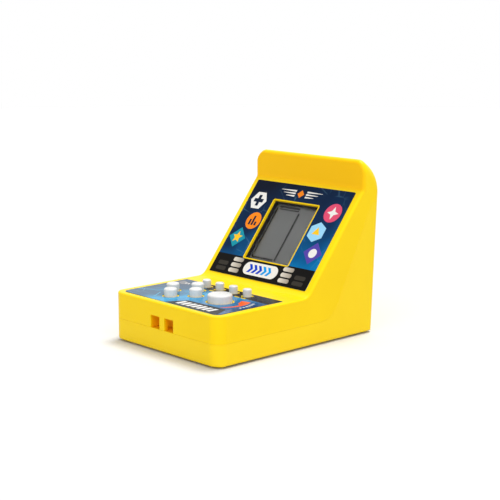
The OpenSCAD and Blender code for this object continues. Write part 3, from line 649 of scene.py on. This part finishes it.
def arc_arrow(x, y, tail, outer, inner, first, last, barb, tip):
    """Curved arrow round a point: a crescent from the tail to the head, which has one inner barb."""
    steps, barb_lead = 24, 12
    neck = barb[1] - barb_lead
    shares = [k / steps for k in range(steps + 1)]
    rim = [turned(x, y, tail + (outer - tail) * s ** 0.5, first + (last - first) * s) for s in shares]
    hollow = [turned(x, y, tail + (inner - tail) * s, first + (neck - first) * s) for s in reversed(shares)]
    return rim + [turned(x, y, *tip), turned(x, y, *barb)] + hollow


def slanted(x, y, w, h, lean):
    return [(x, y), (x + w, y), (x + w + lean, y + h), (x + lean, y + h)]


label_over = 0.9 * mm
cut = bmesh.new()
for x, y, d, _ in button_places.values():
    add_prism(cut, circle(d / 2 + label_over, x, y), deck_z, deck_z + wall)
back_band = deck_print("back_band", [[(-13.5, 39.5), (-8.5, 31.2), (32.1, 30.9), (32.1, 39.5)]],
                       deck_black, 1)
carve(back_band, cut, "DIFFERENCE")
deck_print("back_patch", [[(-28.9, 31.6), (-24, 30.6), (-20.2, 33.4), (-28.8, 36.4)]], deck_grey, 1)
deck_print("back_marks", [slanted(-24.4 + 1.9 * k, 32.6, 0.8, 1.5, -0.5) for k in range(2)], deck_white, 2)
deck_print("front_bar", [[(-1.6, 2.6), (29.3, 2.6), (31, 3.6), (27.3, 11.7), (3.3, 11.3)]], deck_black, 1)
deck_print("front_marks", [slanted(2.9 + 3.3 * k, 4.4, 2.1, 5, 0.5) for k in range(7)], deck_white, 2)
turn_at = 14.3, 19.8
deck_print("turn_arrow", [arc_arrow(*turn_at, 10.9, 13.1, 10.8, -42, 39, (8.7, 19.5), (9.3, 52.6))],
           deck_orange, 1)
deck_print("arrow_marks", [polygon(0.8, 4, *turned(*turn_at, 15, a), math.pi / 4)
                           for a in (-7, 0, 7, 14, 21, 28)], deck_white, 1)
deck_print("gold_marks", [slanted(x, 30.6, 3, 1.1, -0.4) for x in (-5.4, 11.2, 15.2)], deck_gold, 2)
deck_print("light_lines", [[(-30.5, 10.6), (-20.4, 14.9), (-20.6, 15.3), (-30.7, 11)],
                           [(-13.2, 5.3), (-12.7, 5.3), (-17.4, 13.1), (-17.9, 13.1)]], deck_sky, 1)


# Display: a black moulded frame that lines the window, a clear sheet, the liquid crystal glass under it and
# a strip of conductive rubber that joins the glass to the board. The frame clips the stack to the main board,
# which carries the chip under a drop of black resin and is screwed to four posts of the front shell.
dress_node("display_frame",
           moulded("black_lining", (0.006, 0.006, 0.006), (0.004, 0.004, 0.004), (0.45, 0.6)))

clear_sheet, tree, shader = new_material("clear_sheet", IOR=1.25, Transmission_Weight=1.0,
                                         Base_Color=(0.95, 0.96, 0.96, 1))
face = node(tree, "Group", node_tree=moulded_face)
plug(tree, shader["Roughness"], ranged(tree, face.outputs["Tone"], 0.015, 0.04))
dress_node("display_window", clear_sheet)

# The glass shows its unlit cells as a faint grid under the grey polariser
lcd_grey, tree, shader = new_material("lcd_grey", Roughness=0.35, Specular_IOR_Level=0.3)
where = object_place(tree)
cell_pitch, line_share = 1.33 * mm, 0.1
lines = []
for direction in (Vector((1, 0, 0)), slope_point(0, 1) - slope_point(0, 0)):
    run = dot(tree, where, direction / cell_pitch)
    lines.append(maths(tree, "LESS_THAN", maths(tree, "FRACT", run), line_share))
grid = maths(tree, "MAXIMUM", *lines)
tone = node(tree, "Group", node_tree=moulded_face)
tone.inputs["Tone Scale"].default_value = 45
grey = mix_colour(tree, tone.outputs["Tone"], (0.112, 0.113, 0.110, 1), (0.126, 0.127, 0.124, 1))
plug(tree, shader["Base Color"], mix_colour(tree, ranged(tree, grid, 0, 0.12), grey, (0.10, 0.10, 0.095, 1)))
dress_node("display_glass", lcd_grey)

glass_top = -3.25 * mm
frame_lines = [rect(-13.4, -12.8, 15.4, 42.4), rect(1.3, 2.3, 15.2, 40.9), rect(-12.0, 1.1, 42.8, 43.8),
               rect(-11.6, 1.1, 41.8, 42.3), rect(-13.0, 0.6, 15.0, 16.0)]
shadow_shift = Vector((0.5, -0.35))
shadow_lines = [[(x + shadow_shift.x, v + shadow_shift.y) for x, v in outline] for outline in frame_lines]


def glass_print(name, outlines, colour, layer):
    """Segments of the display, or the shadow that they throw on the reflector behind the glass."""
    shape = bmesh.new()
    for outline in outlines:
        add_prism(shape, mm_shape(outline), glass_top - ink_t, glass_top + layer * ink_t / 2, slope_frame)
    dress(solid(name, shape), ink(name + "_tint", colour), "case")


glass_print("field_shadow", shadow_lines, (0.085, 0.086, 0.084), 1)
glass_print("field_lines", frame_lines, (0.004, 0.004, 0.004), 2)

# The rubber strip is a stack of fine dark and pink layers
strip, tree, shader = new_material("layered_strip", Roughness=0.7)
layers = node(tree, "TexWave", {"Vector": object_place(tree), "Scale": 1600, "Distortion": 0},
              bands_direction="X").outputs["Fac"]
plug(tree, shader["Base Color"], mix_colour(tree, layers, (0.55, 0.14, 0.2, 1), (0.06, 0.05, 0.05, 1)))
dress_node("display_connector", strip)

# Circuit board: solder mask over copper tracks
board_mask, tree, shader = new_material("board_mask", Roughness=0.4)
tracks = node(tree, "TexBrick", {"Vector": object_place(tree), "Scale": 120, "Mortar Size": 0.03,
                                 "Color1": (0.012, 0.11, 0.04, 1), "Color2": (0.016, 0.13, 0.05, 1),
                                 "Mortar": (0.03, 0.22, 0.08, 1)})
plug(tree, shader["Base Color"], tracks.outputs["Color"])
relief = node(tree, "Bump", {"Height": tracks.outputs["Fac"], "Strength": 0.3, "Distance": 0.04 * mm})
plug(tree, shader["Normal"], relief.outputs["Normal"])
dress_node("main_board", board_mask)


# Buttons: four direction caps, one large rotate cap and four small caps, each with a flange under the deck.
# White ABS, moulded glossy. They drop in from inside, stand on the domes of the keypad and slide in the
# holes of the deck.
white_cap = moulded("white_cap", (0.72, 0.72, 0.705), (0.695, 0.695, 0.68), (0.22, 0.32), depth=0.08)
flange_top = deck_under - 0.2 * mm
flange_low = flange_top - 1.1 * mm
flange_over = 1 * mm
stem_under = 18.3 * mm
stem_share = 0.6
cap_crown, cap_edge = 0.1 * mm, 0.9 * mm


def add_lathe(shape, profile, segments, place):
    """Adds a turned form to a bmesh: the profile runs from the axis, outside, back to the axis."""
    rings = []
    for radius, height in profile:
        count = segments if radius > 0 else 1
        rings.append([shape.verts.new(place @ Vector((radius * math.cos(math.tau * k / count),
                                                      radius * math.sin(math.tau * k / count), height)))
                      for k in range(count)])
    for low, high in zip(rings, rings[1:]):
        for k in range(segments):
            around = [low[k % len(low)], low[(k + 1) % len(low)],
                      high[(k + 1) % len(high)], high[k % len(high)]]
            shape.faces.new(list(dict.fromkeys(around)))


def quarter(x, z, r, first, steps):
    """Points of a quarter round of a turned form, from an angle in degrees."""
    return [(x + r * math.cos(a), z + r * math.sin(a))
            for a in (math.radians(first + 90 * k / steps) for k in range(steps + 1))]


def smooth(piece, angle=35):
    piece.data.shade_smooth()
    piece.data.set_sharp_from_angle(angle=math.radians(angle))
    return piece


for name, (x, y, d, rise) in button_places.items():
    r = d / 2
    edge = min(cap_edge, r / 3)
    shoulder = deck_z + rise - cap_crown
    profile = [(0, stem_under), (stem_share * r, stem_under), (stem_share * r, flange_low),
               (r + flange_over, flange_low), (r + flange_over, flange_top), (r, flange_top)]
    profile += quarter(r - edge, shoulder - edge, edge, 0, 10)
    profile += [((r - edge) * (1 - s), shoulder + cap_crown * (1 - (1 - s) ** 2))
                for s in (k / 6 for k in range(1, 7))]
    shape = bmesh.new()
    add_lathe(shape, profile, 72, Matrix.Translation((x, y, 0)))
    cap = smooth(solid("cap_" + name, shape))
    dress(cap, white_cap, "button_" + name)
    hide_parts("button_" + name)


# Keypad: a mat of grey silicone with one dome for each button, laid on the contacts of the button board.
# In the game the domes fold as the buttons are pressed; here they stay rigid with the mat. The board is
# screwed to four posts under the deck, and a flat ribbon cable runs from it to the main board.
silicone = moulded("silicone", (0.36, 0.37, 0.38), (0.33, 0.34, 0.35), (0.55, 0.7), Specular_IOR_Level=0.3)
mat_w, mat_l, mat_r, mat_y = 48 * mm, 32 * mm, 2 * mm, front_y + 24 * mm
mat_top = button_board_top + 1 * mm
dome_h = 1.8 * mm
dome_foot, dome_crown = 0.8 * mm, 0.4 * mm
shape = bmesh.new()
add_prism(shape, rounded_rect(mat_w, mat_l, mat_r, 0, mat_y), button_board_top, mat_top)
mat = solid("keypad_mat", shape)
soften(mat, 0.15 * mm)
dress(mat, silicone, "case")
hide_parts("keypad")
for name, (x, y, d, _) in button_places.items():
    foot, crown = d / 2 + dome_foot, stem_share * d / 2 + dome_crown
    shape = bmesh.new()
    add_lathe(shape, [(0, 0), (foot, 0), (foot - 0.1 * mm, 0.3 * mm), (crown + 0.15 * mm, 0.9 * dome_h),
                      (crown, dome_h), (0, dome_h)], 48, Matrix.Translation((x, y, mat_top)))
    dome = smooth(solid("dome_" + name, shape))
    dress(dome, silicone, "case")
    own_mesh(dome)
dress_node("button_board", board_mask)

# The ribbon's cores show as fine stripes along its length
ribbon, tree, shader = new_material("ribbon", Roughness=0.5)
cores = node(tree, "TexWave", {"Vector": object_place(tree), "Scale": 480, "Distortion": 0},
             bands_direction="X").outputs["Fac"]
plug(tree, shader["Base Color"], mix_colour(tree, cores, (0.35, 0.35, 0.33, 1), (0.6, 0.6, 0.57, 1)))
ridges = node(tree, "Bump", {"Height": cores, "Strength": 0.5, "Distance": 0.1 * mm})
plug(tree, shader["Normal"], ridges.outputs["Normal"])
dress_node("flat_cable", ribbon)


# Rear shell: the underside, the back wall and the rear sides, with the battery bay, the sound holes and feet.
# Yellow ABS from the same tool shop as the front shell. It is set on from behind and held by four screws, two
# from below and two through deep holes in the back.
back_frame = Matrix.Translation((0, back_foot_y, foot_h)) @ Matrix.Rotation(-back_lean, 4, "X")
facing_back = back_frame @ Matrix.Rotation(math.radians(90), 4, "X")
socket_r = 3.8 * mm
counterbore_r = 2.9 * mm
clearance_r = 1.55 * mm
base_post_top = 11.2 * mm
back_post_end = 42.5 * mm
bay_half, bay_wall, bay_depth, bay_top = 29.2 * mm, 1.5 * mm, 17.1 * mm, 35.2 * mm
bay_low, bay_floor = 0.4 * mm, 2.1 * mm
door_half, door_low, door_high, door_gap = 28.7 * mm, 4.4 * mm, 34.6 * mm, 0.3 * mm
door_tab_half, door_tab_h = 6 * mm, 3 * mm
buzzer_z, buzzer_ring, ring_h, ring_bore_h = 47 * mm, (10.55 * mm, 11.95 * mm), 4.4 * mm, 5 * mm
sound_hole_r, sound_ring_r = 0.9 * mm, 4.5 * mm
foot_r, foot_x = 3 * mm, 26 * mm
foot_places = front_y + 12 * mm, back_foot_y - 9 * mm
tab_t, tab_w, tab_gap, tab_root, tab_reach = 1.2 * mm, 6 * mm, 0.1 * mm, 4 * mm, 2 * mm
tab_places = front_y + 24 * mm, front_y + 48 * mm
base_head_z, back_head_y, head_seat = 7 * mm, 44 * mm, 0.5 * mm

added, cut = bmesh.new(), bmesh.new()
add_prism(added, rect(-bay_half - bay_wall, bay_half + bay_wall, bay_low, bay_top + bay_wall),
          wall / 2, bay_depth + bay_wall, facing_back)
add_prism(cut, rect(-bay_half, bay_half, bay_floor, bay_top), wall, bay_depth, facing_back)
add_prism(cut, rect(-door_half - door_gap, door_half + door_gap, door_low - door_gap, door_high + door_gap),
          -2 * wall, 2 * wall, facing_back)
tab_cut_half, tab_cut_top = door_tab_half + door_gap, door_high + door_tab_h + door_gap
add_prism(cut, rect(-tab_cut_half, tab_cut_half, door_high, tab_cut_top), -2 * wall, 1.5 * wall, facing_back)
add_prism(added, circle(buzzer_ring[1], 0, buzzer_z), wall / 2, ring_h, facing_back)
add_prism(cut, circle(buzzer_ring[0], 0, buzzer_z), wall, ring_bore_h, facing_back)
for x, z in [(0, 0)] + [(sound_ring_r * math.cos(k * math.pi / 3), sound_ring_r * math.sin(k * math.pi / 3))
                        for k in range(6)]:
    add_prism(cut, circle(sound_hole_r, x, buzzer_z + z, 24), -wall, 1.5 * wall, facing_back)
for s in (-1, 1):
    x, y = s * base_screw[0], base_screw[1]
    add_prism(added, circle(socket_r, x, y, 40), foot_h + wall / 2, base_post_top)
    add_prism(cut, circle(clearance_r, x, y, 24), base_head_z - head_seat, base_post_top + wall)
    add_prism(cut, circle(counterbore_r, x, y, 40), -wall, base_head_z)
    socket_place = Matrix.Translation((s * back_screw[0], 0, back_screw[1])) @ backwards
    add_prism(added, circle(socket_r, points=40), back_post_end, back_y - 0.75 * wall, socket_place)
    add_prism(cut, circle(clearance_r, points=24), back_post_end - wall, back_head_y + head_seat,
              socket_place)
    add_prism(cut, circle(counterbore_r, points=40), back_head_y, back_y + wall, socket_place)
    for y in foot_places:
        add_prism(added, circle(foot_r, s * foot_x, y, 40), 0, foot_h + wall / 2)
    inner = case_half - wall
    tongue = sorted((s * (inner - tab_t - tab_gap), s * (inner - tab_gap)))
    root = sorted((s * (inner - tab_t), s * (inner + wall / 2)))
    for y in tab_places:
        add_prism(added, rect(*tongue, y, y + tab_w), seam_z - tab_root, seam_z + tab_reach)
        add_prism(added, rect(*root, y, y + tab_w), seam_z - tab_root, seam_z - 2 * tab_gap)
add_prism(added, pocket_outline, seam_z - pocket_t, seam_z - seam_gap)
# The rear shell's share of the pocket gets the same painted light
rear_yellow = moulded("rear_yellow_abs", (0.98, 0.69, 0.012), (0.965, 0.665, 0.01), (0.28, 0.40),
                      (pocket_painted_light,), Specular_IOR_Level=0.12)
rear_shell = solid("rear_shell_moulding", case_skin(0))
carve(rear_shell, rear_share(-seam_gap), "INTERSECT")
carve(rear_shell, case_skin(wall), "DIFFERENCE")
carve(rear_shell, added, "UNION")
carve(rear_shell, cut, "DIFFERENCE")
soften(rear_shell, 0.1 * mm)
dress(rear_shell, rear_yellow, "case")
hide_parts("rear_shell")


# Buzzer: a thin brass plate with a ceramic disc on it, pressed into the ring behind the sound holes.
# Two short insulated wires run from it to the main board.
dress_node("buzzer_wires", moulded("red_sleeve", (0.45, 0.012, 0.01), (0.38, 0.01, 0.008), (0.4, 0.5)))


def sheet_metal(name, scale, first, second, rough):
    """Bare or plated metal, uneven in tone and gloss."""
    made, tree, shader = new_material(name, Metallic=1.0)
    tone = node(tree, "TexNoise", {"Vector": object_place(tree), "Scale": scale, "Detail": 3}).outputs["Fac"]
    plug(tree, shader["Base Color"], mix_colour(tree, tone, (*first, 1), (*second, 1)))
    plug(tree, shader["Roughness"], ranged(tree, tone, *rough))
    return made


dress_node("buzzer", sheet_metal("buzzer_plate", 500, (0.6, 0.4, 0.13), (0.72, 0.52, 0.2), (0.25, 0.45)))


# Battery contacts: stamped plates and conical coil springs in the ends of the bay, with a red and a black
# wire soldered to the two tails behind it. Nickel plated steel. The plates slide into slits of the bay walls.
nickel = sheet_metal("nickel", 900, (0.52, 0.51, 0.48), (0.68, 0.67, 0.64), (0.22, 0.42))
dress_node("battery_contacts", nickel)
dress_node("battery_wire_red", bpy.data.materials["red_sleeve"])
dress_node("battery_wire_black",
           moulded("black_sleeve", (0.012, 0.012, 0.012), (0.008, 0.008, 0.008), (0.4, 0.5)))

cell_y, cell_z = -9.6 * mm, (11.8 * mm, 26.6 * mm)
cell_l = 50.5 * mm
contact_x = 28.9 * mm
contact_gap = 0.02 * mm
spring_wire_r, spring_turns = 0.35 * mm, 4
spring_small, spring_big = 2.6 * mm, 4.2 * mm
spring_end = contact_x - contact_gap - cell_l
spring_run = contact_x + spring_end - 2 * spring_wire_r - 2 * contact_gap


def add_tube(shape, path, radius, sides, across):
    """Adds a round wire along a path to a bmesh."""
    rings = []
    for i, point in enumerate(path):
        ahead = (path[min(i + 1, len(path) - 1)] - path[max(i - 1, 0)]).normalized()
        up = ahead.cross(across).normalized()
        right = up.cross(ahead)
        rings.append([shape.verts.new(point + radius * (right * math.cos(t) + up * math.sin(t)))
                      for t in (math.tau * k / sides for k in range(sides))])
    for near, far in zip(rings, rings[1:]):
        for i in range(sides):
            shape.faces.new((near[i - 1], near[i], far[i], far[i - 1]))
    shape.faces.new(rings[0])
    shape.faces.new(rings[-1])


shape = bmesh.new()
for s, z in ((1, cell_z[1]), (-1, cell_z[0])):
    steps = 28 * spring_turns
    coil = []
    for k in range(steps + 1):
        share = k / steps
        r = spring_small + (spring_big - spring_small) * share
        turn = math.tau * spring_turns * share
        x = contact_x - spring_wire_r - contact_gap - spring_run * (1 - share)
        coil.append(back_frame @ Vector((s * x, cell_y + r * math.cos(turn), z + r * math.sin(turn))))
    add_tube(shape, coil, spring_wire_r, 10, Vector((1, 0, 0)))
springs = smooth(solid("coil_springs", shape), 60)
dress(springs, nickel, "case")
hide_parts("battery_springs")


# Cells: two AA cells that lie across the bay, one above the other and end for end.
# Steel cans in a plain shrink jacket, with a bare nub at the positive end. The springs clip them in.
cell_r, cell_edge, nub_r, nub_l, nub_edge = 7.1 * mm, 0.5 * mm, 2.7 * mm, 1.2 * mm, 0.3 * mm
neck_r, foot_rim_r, foot_step = 5.2 * mm, 5.4 * mm, 0.2 * mm


def cell_jacket(name, s):
    """Jacket of one cell: plain grey, with bare steel ends and a light ring near the positive end."""
    made, tree, shader = new_material(name, Roughness=0.32)
    x = node(tree, "SeparateXYZ", {"Vector": object_place(tree)}).outputs["X"]
    start = s * (contact_x - contact_gap)
    share = ranged(tree, x, 0, 1, -start, -start + s * cell_l)
    steel, grey = (0.6, 0.6, 0.58), (0.16, 0.17, 0.18)
    bands = [(0.0, steel), (0.04, grey), (0.12, steel), (0.135, grey), (0.985, steel)]
    face = node(tree, "Group", node_tree=moulded_face)
    worn = ranged(tree, face.outputs["Tone"], 0, 0.08)
    coat = colour_ramp(tree, share, bands, "CONSTANT")
    plug(tree, shader["Base Color"], mix_colour(tree, worn, coat, (0.3, 0.3, 0.3, 1)))
    from_middle = maths(tree, "ABSOLUTE", maths(tree, "SUBTRACT", share, 0.5))
    plug(tree, shader["Metallic"], maths(tree, "GREATER_THAN", from_middle, 0.485))
    return made


for name, s, z in (("upper", 1, cell_z[1]), ("lower", -1, cell_z[0])):
    profile = [(0, 0), (nub_r - nub_edge, 0), (nub_r, nub_edge), (nub_r, nub_l), (neck_r, nub_l)]
    profile += quarter(cell_r - cell_edge, nub_l + cell_edge, cell_edge, -90, 6)
    profile += quarter(cell_r - cell_edge, cell_l - cell_edge, cell_edge, 0, 6)
    profile += [(foot_rim_r, cell_l), (neck_r, cell_l - foot_step), (0, cell_l - foot_step)]
    start = -s * (contact_x - contact_gap)
    lie = back_frame @ Matrix.Translation((start, cell_y, z)) @ Matrix.Rotation(s * math.radians(90), 4, "Y")
    shape = bmesh.new()
    add_lathe(shape, profile, 72, lie)
    cell = smooth(solid("cell_can_" + name, shape))
    dress(cell, cell_jacket("cell_jacket_" + name, s), "case")
    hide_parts("cell_" + name)


# Battery door: the plate that closes the bay, with a finger tab and grip grooves above and two hooks below.
# Yellow ABS. It turns on its hooks in the lower edge of the opening and snaps shut at the tab.
groove_w, groove_r, groove_pitch, groove_depth = 1.2 * mm, 0.5 * mm, 2.4 * mm, 0.5 * mm
hook_x, hook_w, hook_t, hook_gap = 16 * mm, 8 * mm, 1.2 * mm, 0.2 * mm
hook_drop, hook_rise, hook_root = 2.2 * mm, 2 * mm, 0.5 * mm
shape = bmesh.new()
door_top = door_high + door_tab_h
add_prism(shape, [(-door_half, door_low), (door_half, door_low), (door_half, door_high),
                  (door_tab_half, door_high), (door_tab_half, door_top), (-door_tab_half, door_top),
                  (-door_tab_half, door_high), (-door_half, door_high)], 0, wall, facing_back)
door = solid("battery_door_moulding", shape)
added, cut = bmesh.new(), bmesh.new()
for s in (-1, 1):
    x0, x1 = s * hook_x - hook_w / 2, s * hook_x + hook_w / 2
    add_prism(added, rect(x0, x1, door_low - hook_drop, door_low + hook_rise),
              wall + hook_gap, wall + hook_gap + hook_t, facing_back)
    add_prism(added, rect(x0, x1, door_low + hook_root, door_low + hook_rise),
              0.75 * wall, wall + hook_gap + hook_t / 2, facing_back)
for k in (1, 2, 3):
    z = door_high - k * groove_pitch + groove_w / 2
    groove = rounded_rect(2 * door_tab_half, groove_w, groove_r, 0, z)
    add_prism(cut, groove, -wall, groove_depth, facing_back)
carve(door, added, "UNION")
carve(door, cut, "DIFFERENCE")
soften(door, 0.15 * mm)
dress(door, rear_yellow, "battery_door")
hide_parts("battery_door")


# Screws: pan heads with a cross recess, four in the case and eight in the boards.
# Nickel plated steel, driven into the plain bores of the front shell's posts.
dress_node("case_screws", nickel)
dress_node("board_screws", nickel)


# Studio: a pale floor, a soft lamp high above the game, a wide one in front and an even white room.
# The camera stands at the front right, a little above the table, as in the photograph.
floor_r, floor_t = 1.5, 0.01
shape = bmesh.new()
add_prism(shape, circle(floor_r, points=96), -floor_t, 0)
floor = solid("floor", shape)


def seen_directly(tree):
    """Share that is 1 for what the camera sees straight, mirrored in a gloss or through glass."""
    rays = node(tree, "LightPath").outputs
    mirrored = maths(tree, "MAXIMUM", rays["Is Glossy Ray"], rays["Is Transmission Ray"])
    return maths(tree, "MAXIMUM", rays["Is Camera Ray"], mirrored)


floor_white, tree, shader = new_material("floor_white", Roughness=0.9, Specular_IOR_Level=0.0)
paper = node(tree, "TexNoise", {"Vector": object_place(tree), "Scale": 900})
pale = mix_colour(tree, paper.outputs["Fac"], (0.74, 0.74, 0.74, 1), (0.76, 0.76, 0.76, 1))
plug(tree, shader["Base Color"], mix_colour(tree, seen_directly(tree), (0.60, 0.60, 0.60, 1), pale))
floor.data.materials.append(floor_white)


def soft_lamp(name, energy, spread, direction):
    lamp = bpy.data.lights.new(name, "SUN")
    lamp.energy = energy
    lamp.angle = math.radians(spread)
    holder = bpy.data.objects.new(name, lamp)
    holder.rotation_euler = Vector(direction).to_track_quat("-Z", "Y").to_euler()
    bpy.context.scene.collection.objects.link(holder)


soft_lamp("top_lamp", 2.25, 24, (0, -0.28, -1))
soft_lamp("front_lamp", 1.88, 100, (-0.66, 0.62, -0.3))

room = bpy.data.worlds.new("room")
room.use_nodes = True
bpy.context.scene.world = room
tree = room.node_tree
light = tree.nodes["Background"]
light.inputs["Color"].default_value = (1, 1, 1, 1)
light.inputs["Strength"].default_value = 0.5
white = node(tree, "Background", {"Color": (1, 1, 1, 1), "Strength": 1.0})
shown = node(tree, "MixShader", {0: seen_directly(tree), 1: light.outputs[0], 2: white.outputs[0]})
plug(tree, tree.nodes["World Output"].inputs["Surface"], shown.outputs[0])

camera = bpy.data.cameras.new("camera")
camera.lens = 88.4
camera.sensor_width = 36
camera.clip_start = 0.01
camera_holder = bpy.data.objects.new("camera", camera)
camera_holder.location = (0.39707, -0.36816, 0.14031)
aim = Vector((0.01668, -0.01413, 0.04327)) - camera_holder.location
camera_holder.rotation_euler = aim.to_track_quat("-Z", "Y").to_euler()
bpy.context.scene.collection.objects.link(camera_holder)
bpy.context.scene.camera = camera_holder
bpy.context.scene.view_settings.view_transform = "Standard"
